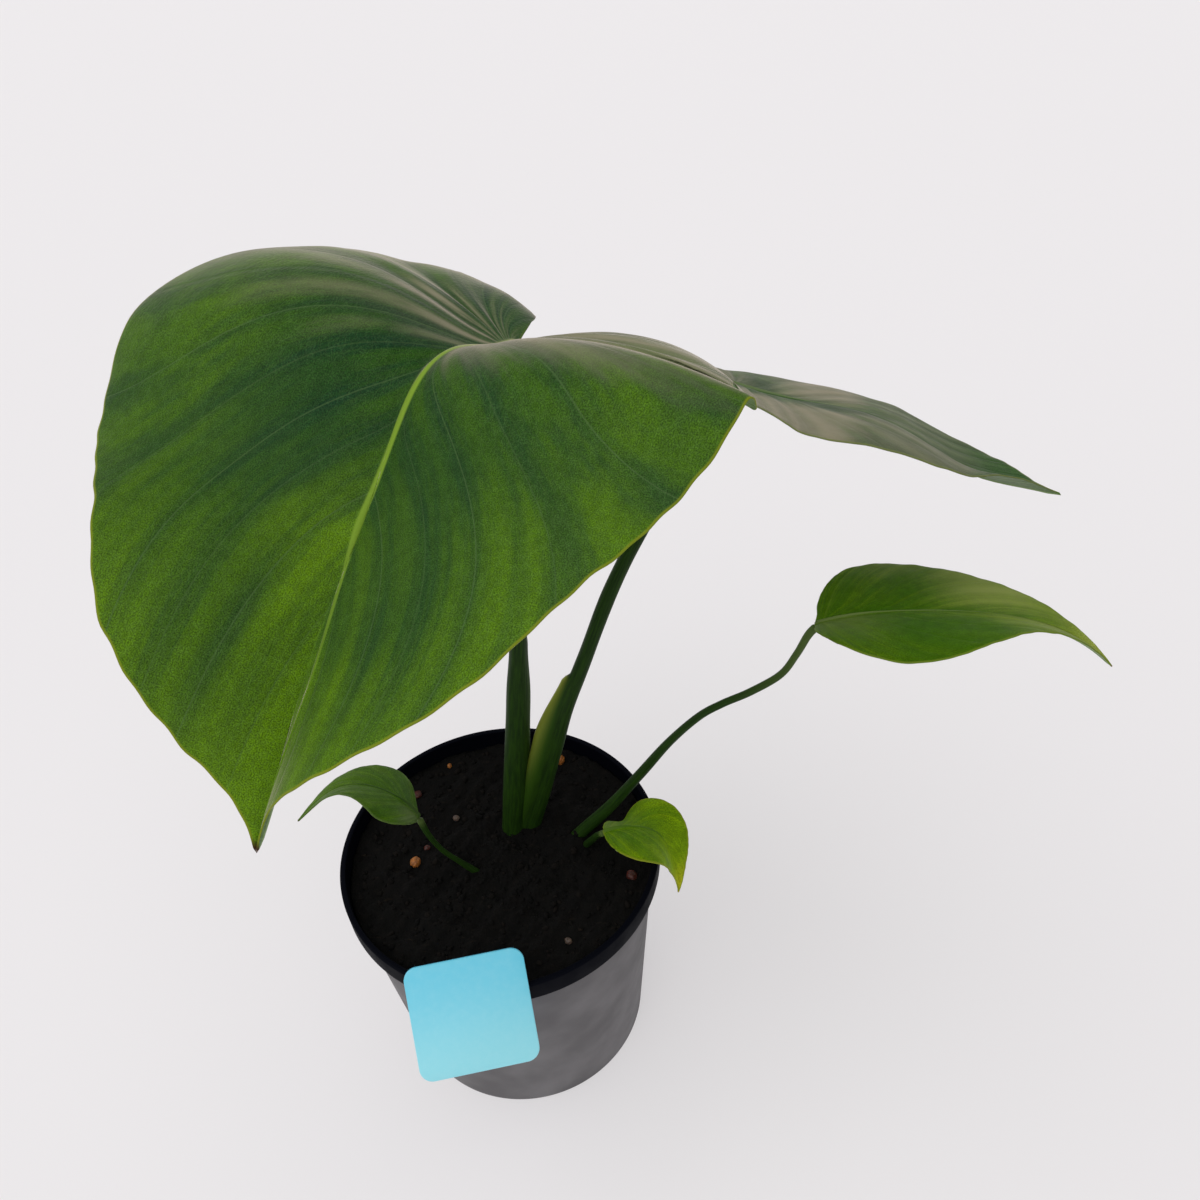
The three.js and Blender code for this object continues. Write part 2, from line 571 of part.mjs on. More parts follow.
function soilBlock() {
  const shoulder = POT_HEIGHT - RIM_HEIGHT;
  const wall = (z) => BASE_RADIUS + ((WALL_TOP_RADIUS - BASE_RADIUS) * z) / shoulder - WALL - WIDE_GAP;
  const bottom = FLOOR + GAP;
  const topRadius = RIM_RADIUS - RIM_THICK - 1;
  const side = [
    [wall(shoulder), shoulder - LEDGE + WIDE_GAP / 2],
    [wall(bottom), bottom + FLOOR_ROUND],
    [wall(bottom) - FLOOR_ROUND, bottom],
  ];
  const positions = [0, 0, soilHeight(0, 0), 0, 0, bottom];
  const rings = [];
  const addRing = (radius, height) => {
    const ring = [];
    for (let k = 0; k < SOIL_SIDES; k += 1) {
      const angle = (2 * Math.PI * k) / SOIL_SIDES;
      const [x, y] = [radius * Math.cos(angle), radius * Math.sin(angle)];
      ring.push(positions.length / 3);
      positions.push(x, y, height === null ? soilHeight(x, y) : height);
    }
    rings.push(ring);
  };
  for (let i = 1; i <= SOIL_RINGS; i += 1) addRing((topRadius * i) / SOIL_RINGS, null);
  side.forEach(([radius, height]) => addRing(radius, height));
  const list = [];
  for (let k = 0; k < SOIL_SIDES; k += 1) {
    const n = (k + 1) % SOIL_SIDES;
    list.push(0, rings[0][k], rings[0][n]);
    for (let i = 0; i < rings.length - 1; i += 1) {
      const [a, b] = [rings[i], rings[i + 1]];
      list.push(a[k], b[k], b[n], a[k], b[n], a[n]);
    }
    const end = rings[rings.length - 1];
    list.push(1, end[n], end[k]);
  }
  return toManifold(toGeometry(positions, list));
}

// Rootstock, buried under the two thick stalks

const ROOT_TOP = SOIL_LEVEL - STALK_DEPTH - GAP;
const ROOT_CENTRE = [4.2, 13];

function rootstockSolid(extra = 0) {
  const shape = [[0, -13], [3.5, -12], [6.2, -8], [7.2, -4], [6.8, -1], [6, 0], [0, 0]];
  const points = shape.map(([r, z]) => new THREE.Vector2(
    r === 0 ? 0 : r + extra, z + (z === 0 ? extra : 0) - (z === -13 ? extra : 0)));
  const root = turned(points, 16);
  root.translate(ROOT_CENTRE[0], ROOT_CENTRE[1], ROOT_TOP);
  return root;
}

// Beads

function beadSolid([x, y, radius, flat], extra = 0) {
  const bead = new THREE.IcosahedronGeometry(radius + extra, 1);
  bead.scale(1, 0.9, flat);
  bead.rotateZ(x + y);
  bead.translate(x, y, soilHeight(x, y) + radius * flat * (1 - 2 * BEAD_SINK));
  return bead;
}

// Card with its clip

function labelSolid() {
  const outline = new THREE.Shape();
  const [w, h, r] = [CARD_WIDTH / 2, CARD_HEIGHT / 2, CARD_CORNER];
  outline.moveTo(r - w, -h);
  outline.lineTo(w - r, -h);
  outline.absarc(w - r, r - h, r, -Math.PI / 2, 0);
  outline.absarc(w - r, h - r, r, 0, Math.PI / 2);
  outline.absarc(r - w, h - r, r, Math.PI / 2, Math.PI);
  outline.absarc(r - w, r - h, r, Math.PI, 1.5 * Math.PI);
  const settings = { depth: CARD_THICK, bevelEnabled: false, curveSegments: 6 };
  const card = new THREE.ExtrudeGeometry(outline, settings);
  card.translate(0, 0, -CARD_THICK);
  card.rotateX(rad(CARD_SLOPE));
  card.rotateZ(rad(CARD_TURN));
  card.translate(...CARD_FACE);
  return toManifold(card).add(clipSolid()).add(gussetSolid());
}

// An inverted channel over the rim, as a short stretch of a ring
function clipSolid() {
  const inside = RIM_RADIUS - RIM_THICK - GAP;
  const outside = RIM_RADIUS + GAP;
  const top = POT_HEIGHT + GAP;
  const outerEnd = POT_HEIGHT - CLIP_OUTER_DROP;
  const innerEnd = POT_HEIGHT - CLIP_INNER_DROP;
  const round = CLIP_THICK / 3;
  const profile = [
    [outside, top], [outside, outerEnd], [outside + CLIP_THICK, outerEnd],
    [outside + CLIP_THICK, top + round], [outside + round, top + CLIP_THICK],
    [inside - CLIP_THICK, top + CLIP_THICK], [inside - CLIP_THICK, innerEnd],
    [inside, innerEnd], [inside, top], [outside, top],
  ];
  const ring = toManifold(turned(profile.map(([r, z]) => new THREE.Vector2(r, z)), 4 * ROUND_SIDES));
  const block = new THREE.BoxGeometry(CLIP_WIDTH, 20, 40);
  block.translate(0, -RIM_RADIUS, POT_HEIGHT);
  block.rotateZ(rad(CLIP_ANGLE));
  return ring.intersect(toManifold(block));
}

// A rib from the clip's outer leg to the back of the card
function gussetSolid() {
  const leg = -(RIM_RADIUS + GAP + CLIP_THICK / 2);
  const low = POT_HEIGHT - CLIP_OUTER_DROP + 1;
  const rib = new THREE.Shape([
    new THREE.Vector2(leg, POT_HEIGHT), new THREE.Vector2(leg, low), new THREE.Vector2(leg - 7.2, low),
  ]);
  const gusset = new THREE.ExtrudeGeometry(rib, { depth: GUSSET, bevelEnabled: false });
  gusset.translate(0, 0, -GUSSET / 2);
  gusset.rotateY(Math.PI / 2);
  gusset.rotateX(Math.PI / 2);
  gusset.rotateZ(rad(CLIP_ANGLE));
  return toManifold(gusset);
}

// The scene graph

const plant = new THREE.Group();

function addMesh(name, geometry, color, roughness) {
  const mesh = new THREE.Mesh(geometry, new THREE.MeshStandardMaterial({ color, roughness, metalness: 0 }));
  mesh.name = name;
  plant.add(mesh);
}

const stalks = {};
let soil = soilBlock().subtract(toManifold(rootstockSolid(WIDE_GAP)));
for (const [name, leaf] of Object.entries(LEAVES)) {
  const blade = new Blade(leaf);
  stalks[name] = stalkSolid(leaf).subtract(toManifold(blade.solid(WIDE_GAP)));
  addMesh(`blade_${name}`, blade.solid(), leaf.colour, 0.5);
  soil = soil.subtract(stalkSolid(leaf, GAP));
}
// The front stalk's sheath presses into the side of the large one
stalks.large = stalks.large.subtract(stalkSolid(LEAVES.behind, GAP));
for (const [name, stalk] of Object.entries(stalks)) {
  addMesh(`petiole_${name}`, fromManifold(largest(stalk)), 0x2f5f1c, 0.55);
}

BEADS.forEach((bead, k) => {
  soil = soil.subtract(toManifold(beadSolid(bead, WIDE_GAP)));
  addMesh(`bead_${k + 1}`, beadSolid(bead), bead[4], 0.7);
});

addMesh('soil', fromManifold(largest(soil)), 0x17120f, 0.95);
addMesh('rootstock', rootstockSolid(), 0x8a6a48, 0.9);
addMesh('pot', potSolid(), 0x1b1c20, 0.45);
addMesh('label', fromManifold(labelSolid()), 0x8fd8ea, 0.5);

export default plant;
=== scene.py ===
import math

import bmesh
import bpy
import numpy as np
from mathutils import Matrix, Vector


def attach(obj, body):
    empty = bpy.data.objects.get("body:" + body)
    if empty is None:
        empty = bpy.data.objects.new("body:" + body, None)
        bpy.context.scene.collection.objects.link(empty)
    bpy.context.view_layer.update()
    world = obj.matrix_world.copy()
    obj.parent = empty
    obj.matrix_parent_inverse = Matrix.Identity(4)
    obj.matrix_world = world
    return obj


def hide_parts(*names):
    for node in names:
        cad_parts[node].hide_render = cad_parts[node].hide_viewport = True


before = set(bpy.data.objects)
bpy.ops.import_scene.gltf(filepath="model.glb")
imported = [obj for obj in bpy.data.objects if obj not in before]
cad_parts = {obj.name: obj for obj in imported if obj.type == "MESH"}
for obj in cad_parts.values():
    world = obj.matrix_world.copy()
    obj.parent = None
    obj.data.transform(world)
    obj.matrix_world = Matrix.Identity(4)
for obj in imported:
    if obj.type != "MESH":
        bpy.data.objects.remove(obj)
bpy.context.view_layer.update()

# Sizes below are in millimetres and angles in degrees, as the solids have them. Meshes are in metres.
MM = 0.001

# Pot
POT_HEIGHT = 90
RIM_RADIUS = 52.5
RIM_HEIGHT = 8
SHOULDER = POT_HEIGHT - RIM_HEIGHT
RIM_THICK = 1.9
RIM_ROUND = 0.9
RIM_DRAFT = 0.2
WALL = 1.4
WALL_TOP_RADIUS = 49.8
BASE_RADIUS = 42
FLOOR = 2.2
FLOOR_ROUND = 1.6
LEDGE = 1
BASE_RECESS = 1
FOOT_WIDTH = 4
CENTRE_PAD_RADIUS = 18
DRAIN_HOLES = 6
DRAIN_RADIUS = 4
DRAIN_CIRCLE = 29
DRAIN_CUT = (-4, 6)
DRAIN_SIDES = 48
POT_SIDES = 240
POT_CREASE = 35
ROUND_STEPS = 5

# Potting mix
SOIL_LEVEL = 84
SOIL_BUMP = 0.9
SOIL_RADIUS = 50.1
SOIL_EDGE = (38, 49)
SOIL_SIDES = 240
SOIL_RINGS = 84
SOIL_ROUGH = 0.28
SOIL_GAP = 0.4
SOIL_LIFT = 0.3
RIPPLES = 14
GOLDEN_TURN = 2.399
CRUMBS = 950
CRUMB_SEED = 7
CRUMB_SIZES = (0.35, 1.25)

# Card on the rim
CARD_WIDTH = 35.6
CARD_HEIGHT = 33.8
CARD_THICK = 1.2
CARD_CORNER = 4
CARD_BEVEL = 0.3
CARD_FACE = (-8.5, -57.9, 87.5)
CARD_SLOPE = 48
CARD_TURN = 7
CARD_CREASE = 40
ARC_STEPS = 12
CLIP_ANGLE = -9.5
CLIP_WIDTH = 14
CLIP_THICK = 0.9
CLIP_GAP = 0.3
CLIP_OUTER_DROP = 9.5
CLIP_INNER_DROP = 4
GUSSET = 3
GUSSET_REACH = 7.2

# Leaves. Lengths along a blade are shares of its length, from the stalk (0) to the tip (1).
# Reliefs and patterns have the size they have on a blade of the full length.
FULL_LENGTH = 143.7
BLADE_THICK = 0.7
MARGIN_THIN = 0.45
MARGIN_ROUND = 0.12
FRAME_START = -0.45
FRAME_END = 1.1
FRAME_STEP = 0.01
BEND_SPAN = 0.45
VEIN_CLOSE = 0.03
VEIN_LOBE = 0.3
VEIN_SPREAD = 2.8
VEIN_LEAN = 0.25
VEIN_REACH = 0.75
WAVES = 1.8
WAVE_START = 0.235
OUTLINE_STEPS = 120
CLOSE_SHARE = 0.35
TIP_BLEND = 2.5
VEIN_LEAD = 0.45
LEAD_FADE = 0.06
VEIN_BOWS = [(0.3, 0), (0.5, 0.07), (0.68, 0), (0.79, -0.045), (0.9, 0)]
SCALLOPS = 0.0025
LOBE_SHRINK = (-0.14, 0.02)
ROWS_PER_VEIN = 26
PLEAT_SHARE = 0.4
LOBE_PLEATS = 0.55
FINE_PLEATS = 0.1
PUCKERS = 0.15
RIPPLE = 0.14
RIB_HEIGHT = (0.22, 0.8)
KEEL_WIDTH = 1.3
KEEL_DEPTH = 1.25

# Stalks
STALK_SIDES = 48
STALK_STEP = 1.2
STALK_DEPTH = 18
STALK_KNOBS = 0.03
SHEATH_SHOULDER = 0.3
SHEATH_LIP = 0.3
SHEATH_TAPER = 0.5

# Half outlines, as (along, across): from the notch at the stalk round the lobe to the tip
HEART = [
    (-0.01, 0), (-0.06, 0.05), (-0.12, 0.125), (-0.18, 0.21), (-0.235, 0.305), (-0.195, 0.41),
    (-0.065, 0.5), (0.1, 0.555), (0.265, 0.55), (0.42, 0.485), (0.57, 0.385), (0.725, 0.295),
    (0.84, 0.174), (0.91, 0.074), (0.95, 0.032), (1, 0),
]
OVAL = [
    (-0.01, 0), (0, 0.045), (0.005, 0.1), (0.03, 0.17), (0.075, 0.245), (0.14, 0.3), (0.235, 0.33),
    (0.34, 0.32), (0.465, 0.272), (0.595, 0.198), (0.72, 0.13), (0.84, 0.065), (0.935, 0.025), (1, 0),
]

# Pitch is the midrib's climb, heading its compass angle from +Y towards +X, roll its turn about
# the midrib. Each half of a cross-section starts at its tilt and curls down by its bend, which are
# given at the places. Stalks are (x, y, z, radius).
LEAVES = {
    "large": dict(
        length=FULL_LENGTH, at=(25, 19.2, 261.6), outline=HEART, width=1.05,
        pitch=[
            (-0.3, 79), (-0.12, 29), (0, 13.7), (0.1, 24), (0.18, 2), (0.3, -38), (0.55, -27), (0.8, -41),
            (1, -43),
        ],
        heading=[
            (-0.3, -129), (-0.12, -116.5), (0, -124.7), (0.12, -136), (0.25, -150), (0.5, -154),
            (1, -151),
        ],
        roll=[(-0.3, -16.6), (-0.12, -14.6), (0, -9.5), (0.3, 5), (0.65, 16), (1, -17)],
        places=(-0.25, -0.1, 0, 0.1, 0.5, 1),
        tilt_left=(24, 20, 20.7, 22.6, 40.5, 53), bend_left=(80, 33, 25, 27, 24.5, 49),
        tilt_right=(-20, 22, 25, 30.5, 15, 52), bend_right=(-72, 27.5, 27.5, 37, 31, 20),
        wander=[(0, 0), (0.2, -0.02), (0.4, 0), (0.5, 0.006), (0.7, -0.023), (0.8, -0.024), (1, 0)],
        lobe_left=(0.9, 0.97), veins=8, pleat=0.8, wave=1, slot="leaf_large",
        stalk=[
            (4.2, 13.2, 84, 4.1), (9.4, 14.4, 122, 3.7), (12.4, 15, 145, 3.3), (15, 15.6, 165, 2.7),
            (19, 16.5, 197, 2.5), (22.2, 17.4, 232, 2.4), (24.6, 18.9, 257, 2.3), (25, 19.2, 261.2, 2.3),
        ],
        sheath=dict(start=66, end=168, height=1.1, towards=20, sharp=6),
    ),
    "behind": dict(
        length=99.9, at=(83.5, 52.8, 223.8), outline=HEART, width=0.98,
        pitch=[(-0.3, -7), (0, -20), (0.3, -6), (0.6, -33), (0.85, -5), (1, -10)],
        heading=[(-0.3, 98), (0, 99), (0.5, 112), (1, 113)],
        roll=[(-0.3, 26), (0, 27), (0.3, 25), (0.65, 24), (1, 25)],
        places=(-0.25, 0.1, 0.5, 1),
        tilt_left=(3, 7, 3, 16), bend_left=(12, 10, 13, 8),
        tilt_right=(5, 5, 9, 20), bend_right=(11, 11, 12, 5),
        veins=7, pleat=0.5, wave=1.1, slot="leaf_behind",
        stalk=[
            (10.2, 13.6, 84, 3.4), (16.2, 13.9, 103, 3), (21.3, 14.4, 119, 2.7), (26.6, 15.8, 136, 2.5),
            (34, 19.7, 152.5, 2.4), (44, 27, 173, 2.3), (56, 34.5, 192, 2.3), (70, 43.5, 209.5, 2.2),
            (80.5, 50.8, 221, 2.2), (82.6, 52.2, 223, 2.1),
        ],
        sheath=dict(start=66, end=147, height=6, towards=188, sharp=5), stalk_slot="stalk_sheathed",
    ),
    "right": dict(
        length=92.2, at=(100.5, 0, 176.2), outline=OVAL, width=1.06,
        pitch=[(-0.2, 35), (0, 21), (0.25, 1), (0.55, -13), (0.8, -34), (1, -52)],
        heading=[(-0.2, 101), (0, 98), (0.5, 94), (1, 97)],
        roll=[(-0.2, 3), (0, 16), (0.5, 13), (1, 4)],
        places=(-0.1, 0.2, 0.6, 1),
        tilt_left=(17, 9, 3, 11), bend_left=(12, 18, 12, 9),
        tilt_right=(30, 10, 24, 12), bend_right=(12, 20, 12, 8),
        veins=6, pleat=0.12, wave=0.3, slot="leaf_right",
        stalk=[
            (26.4, 7, 84, 2.2), (37.3, 6, 97.8, 1.9), (48.2, 5, 114.1, 1.6), (57.5, 4, 128.6, 1.35),
            (66.6, 3, 139.8, 1.2), (73.8, 2.5, 145.1, 1.15), (82.1, 2, 149.6, 1.15),
            (90.7, 1.3, 156.3, 1.1), (95, 0.8, 164.4, 1.1), (98, 0.3, 172.2, 1.15),
            (100.3, 0, 175.8, 1.2),
        ],
    ),
    "small_right": dict(
        length=40.5, at=(35, -15.7, 112.2), outline=OVAL, width=1.2,
        pitch=[(-0.2, 22), (0, 9), (0.25, -14), (0.5, -64), (0.75, -66), (1, -36)],
        heading=[(-0.2, 75), (0, 81), (0.5, 105), (1, 195)],
        roll=[(-0.2, 5), (0, 18), (0.5, 5), (1, 41)],
        places=(-0.1, 0.2, 0.6, 1),
        tilt_left=(7, -17, 29, 7), bend_left=(22, 33, 8, 10),
        tilt_right=(8, 12, 24, 31), bend_right=(28, 22, 16, 9),
        veins=5, pleat=0.08, wave=0.15, slot="leaf_new",
        stalk=[
            (28.5, 2.2, 84, 1.3), (30.5, -3.5, 93.5, 1.1), (32.6, -10, 104, 1), (34.6, -14.9, 111.2, 1),
        ],
    ),
    "small_left": dict(
        length=43.7, at=(-22.1, -6.3, 116.6), outline=OVAL, width=1,
        pitch=[(-0.2, 51), (0, 48), (0.25, 29), (0.5, 9), (0.75, -26), (1, -20)],
        heading=[(-0.2, -80), (0, -54), (0.5, -90), (1, -130)],
        roll=[(-0.2, -25), (0, -38), (0.5, -16), (1, -29)],
        places=(-0.1, 0.2, 0.6, 1),
        tilt_left=(19, 6, 21, 16), bend_left=(19, 23, 13, 11),
        tilt_right=(-18, 2, 0, -2), bend_right=(19, 12, 15, 10),
        veins=5, pleat=0.08, wave=0.15, slot="leaf_right",
        stalk=[
            (-8.8, -4.4, 84, 1.1), (-13.2, -5.1, 91.2, 0.9), (-17.4, -5.7, 98.6, 0.85),
            (-20.2, -6.1, 107, 0.9), (-21.8, -6.3, 116, 1.1),
        ],
    ),
}

# Feed beads on the mix: (x, y, radius, flatness, colour name)
BEADS = [
    (-18.8, 42.5, 0.9, 1, "orange"),
    (-29.7, 30.1, 1.7, 0.6, "red"),
    (-15.7, 18.3, 1.2, 0.8, "pale"),
    (-28.9, 1.5, 1.9, 1, "orange"),
    (-25.2, 6.8, 1.1, 0.8, "red"),
    (20.9, 39.9, 1.8, 1, "orange"),
    (42.2, -11.6, 2, 0.8, "red"),
    (20.6, -33.6, 1.2, 0.8, "pale"),
]
BEAD_SINK = 0.45

# Looks of the blades. Colours are linear. dark, mid and bright follow the bands between the veins, and
# the dark bands in the sunken veins are partly painted shade. end is the colour towards the tip, and haze
# is the colour of a painted sheen on the ridges. One number sets the strength of painted light towards
# the margin, the tip and beside the midrib. Patches of painted sheen and of painted shade are (hand,
# reach, places across, strength, share of it that lies between the ridges), with the right hand as 1, and
# reach and places across in lengths of the leaf.
LEAF_LOOKS = {
    "large": dict(
        dark=(0.008, 0.037, 0.013), mid=(0.021, 0.067, 0.007), bright=(0.085, 0.176, 0.004),
        end=(0.1, 0.2, 0.007), rib=(0.19, 0.31, 0.03), vein=(0.085, 0.15, 0.05),
        margin=(0.2, 0.24, 0.015), tip=(0.05, 0.02, 0.01), haze=(0.26, 0.235, 0.16),
        painted_light=1, bands=1, vein_share=0.3, sheen=0.66, gloss=0.05, rib_width=1.6, pale_rib=0.55,
        painted_sheen=[
            (1, (0, 0.14), (0, 0.22), 0.85, 0.12), (1, (0.1, 0.2), (0.12, 0.36), 0.4, 0),
            (-1, (-0.06, 0.19), (0, 1), 0.85, 0.5),
        ],
        shade=[(1, (0.26, 0.48), (0.08, 0.28), 0.35, 1), (-1, (0.34, 0.7), (-0.1, 0.22), 0.35, 1)],
        soft=0.055,
    ),
    "behind": dict(
        dark=(0.014, 0.048, 0.008), mid=(0.042, 0.1, 0.018), bright=(0.08, 0.15, 0.03),
        end=(0.018, 0.08, 0.002), rib=(0.12, 0.17, 0.07), vein=(0.07, 0.12, 0.04),
        margin=(0.16, 0.19, 0.06), tip=(0.06, 0.15, 0.01), haze=(0.27, 0.24, 0.16),
        painted_light=0, bands=0.5, vein_share=0.1, sheen=0.15, gloss=0.03, rib_width=0.8, pale_rib=0,
        painted_sheen=[
            (1, (-0.1, 0.38), (0.2, 1), 0.85, 0.75), (1, (0.36, 0.7), (0.1, 1), 0.45, 0.6),
            (-1, (0.17, 0.38), (0.03, 1), 0.85, 0.7), (-1, (-0.3, 0.03), (0, 1), 0.7, 0.7),
            (-1, (0.4, 0.75), (0, 1), 0.2, 0.5),
        ],
        shade=[(1, (0.2, 0.44), (-0.1, 0.17), 0.9, 1), (-1, (0.03, 0.15), (-0.1, 0.2), 0.9, 1)],
        soft=0.07,
    ),
    "right": dict(
        dark=(0.036, 0.105, 0.003), mid=(0.09, 0.17, 0.004), bright=(0.13, 0.21, 0.004),
        end=(0.42, 0.46, 0.07), rib=(0.13, 0.19, 0.05), vein=(0.08, 0.14, 0.012),
        margin=(0.14, 0.2, 0.02), tip=(0.2, 0.12, 0.04), haze=(0.27, 0.31, 0.085),
        painted_light=1, bands=0.1, vein_share=0.04, sheen=0.01, gloss=0.015, rib_width=0.6,
        painted_sheen=[
            (-1, (0.42, 0.76), (0.06, 0.34), 0.75, 0.8), (-1, (0.14, 0.45), (0.26, 0.6), 0.4, 0.8),
            (1, (0, 0.14), (-0.1, 0.16), 0.35, 0.8), (1, (0.56, 0.9), (-0.2, 0.4), 0.45, 0.8),
        ],
        shade=[(-1, (0.08, 0.65), (-0.1, 0.03), 0.7, 1), (1, (0.2, 0.5), (0.08, 0.5), 0.6, 1)],
        soft=0.13,
    ),
    "small_right": dict(
        dark=(0.06, 0.15, 0.003), mid=(0.15, 0.26, 0.003), bright=(0.24, 0.37, 0.003),
        end=(0.5, 0.48, 0.02), rib=(0.07, 0.15, 0.01), vein=(0.12, 0.2, 0.012),
        margin=(0.24, 0.28, 0.02), tip=(0.4, 0.34, 0.03), haze=(0.2, 0.2, 0.12),
        painted_light=1, bands=0.05, vein_share=0.02, sheen=0.01, gloss=0.03, rib_width=0.7,
        painted_sheen=[(-1, (0, 0.12), (0, 0.3), 0.25, 0.8)], shade=[], soft=0.1,
    ),
    "small_left": dict(
        dark=(0.036, 0.1, 0.005), mid=(0.085, 0.175, 0.008), bright=(0.12, 0.22, 0.01),
        end=(0.08, 0.16, 0.01), rib=(0.03, 0.07, 0.012), vein=(0.05, 0.11, 0.012),
        margin=(0.09, 0.15, 0.03), tip=(0.1, 0.12, 0.03), haze=(0.2, 0.22, 0.12),
        painted_light=0.4, bands=0.05, vein_share=0.03, sheen=0.06, gloss=0.04, rib_width=0.5,
        painted_sheen=[(-1, (0, 0.12), (0, 0.25), 0.35, 0.8)], shade=[], soft=0.08,
    ),
}
SHEEN_TINT = (1, 0.84, 0.76)
SHEEN_ROUGHNESS = 0.24
SHADE_SOFT = 0.04
RIB_PALE = (0.4, 0.37, 0.2)
UNDERSIDE = (0.12, 0.2, 0.06)
UNDERSIDE_VEIN = (0.22, 0.32, 0.12)

# Fine patterns of the blades, with scales in cells a metre
GRAIN_SCALE = 3300
MOTTLE_SCALE = 340
NET_SCALE = 620
NET_SHARE = 0.1
UNDER_NET_SCALE = 430
UNDER_NET_SHARE = 0.3
NET_LINE = 0.02

# Stalks, mix, pot, beads and card
STALK_DARK = (0.009, 0.026, 0.004)
STALK_LIGHT = (0.022, 0.062, 0.004)
STALK_END = (0.1, 0.15, 0.035)
SHEATH_LIGHT = (0.026, 0.068, 0.005)
SHEATH_EDGE = (0.32, 0.35, 0.05)
SOIL_DARK = (0.0032, 0.003, 0.0028)
SOIL_BROWN = (0.0095, 0.007, 0.0055)
SOIL_FIBRE = (0.05, 0.033, 0.02)
POT_BLACK = (0.0022, 0.0026, 0.005)
POT_WALL = (0.17, 0.165, 0.17)
POT_DUST = (0.12, 0.1, 0.085)
BEAD_COLOURS = {"orange": (0.5, 0.16, 0.03), "red": (0.08, 0.014, 0.008), "pale": (0.13, 0.08, 0.06)}
# The card's face goes from its top colour to a paler foot, a painted reflection on the glossy plastic
CARD_TOP = (0.13, 0.62, 0.82)
CARD_FOOT_REFLECTION = (0.3, 0.74, 0.84)
CARD_WORN = (0.55, 0.85, 0.92)
CARD_SIDE = (0.03, 0.28, 0.62)
ROOT_BROWN = (0.3, 0.19, 0.1)

# Stage
FLOOR_COLOUR = (0.36, 0.352, 0.356)
FLOOR_GLOW = 0.46
FLOOR_REACH = 3000
SURROUND = (1, 0.975, 0.99)
FRONT_LIGHT = 0.33
BACK_LIGHT = 1.05
BACKDROP_SIDE = (0, 0.5)
BACKDROP_TOP = (0.25, 0.6)
SUN_POWER = 2.25
SUN_SPREAD = 85
SUN_FROM = (-0.3, -0.35, 1)

# View
CAMERA_PLACE = (40.4, -244.1, 409.3)
CAMERA_PITCH = 41.52
CAMERA_ROLL = -5.44
CAMERA_FIELD = 53


# Curves

def smooth(pairs, t):
    """Smooth value at t through (place, value) pairs."""
    x, y = np.array(list(pairs), float).T
    wide_x, wide_y = np.pad(x, 1, "edge"), np.pad(y, 1, "edge")
    m = (wide_y[2:] - wide_y[:-2]) / (wide_x[2:] - wide_x[:-2])
    i = np.clip(np.searchsorted(x, t) - 1, 0, len(x) - 2)
    h = x[i + 1] - x[i]
    u = np.clip((t - x[i]) / h, 0, 1)
    v = 1 - u
    rise = (1 + 2 * u) * v * v * y[i] + u * v * v * h * m[i]
    return rise + u * u * (3 - 2 * u) * y[i + 1] - u * u * v * h * m[i + 1]


def along(points, u):
    """Points at shares u of a Catmull-Rom curve."""
    p = np.array(points, float)
    p = np.vstack([2 * p[0] - p[1], p, 2 * p[-1] - p[-2]])
    last = len(points) - 1
    place = np.clip(u, 0, 1) * last
    i = np.minimum(np.floor(place).astype(int), last - 1)
    f = (place - i)[..., None]
    a, b, c, d = (p[i + k] for k in range(4))
    bow = (2 * a - 5 * b + 4 * c - d) * f ** 2
    return 0.5 * (2 * b + (c - a) * f + bow + (3 * b - a - 3 * c + d) * f ** 3)


def step(value, low, high):
    """Smooth step from 0 at low to 1 at high."""
    u = np.clip((value - low) / (high - low), 0, 1)
    return u * u * (3 - 2 * u)


def unit(v):
    return v / np.maximum(np.linalg.norm(v, axis=-1, keepdims=True), 1e-12)


def strides(points):
    return np.linalg.norm(np.diff(points, axis=0), axis=1)


# Blades

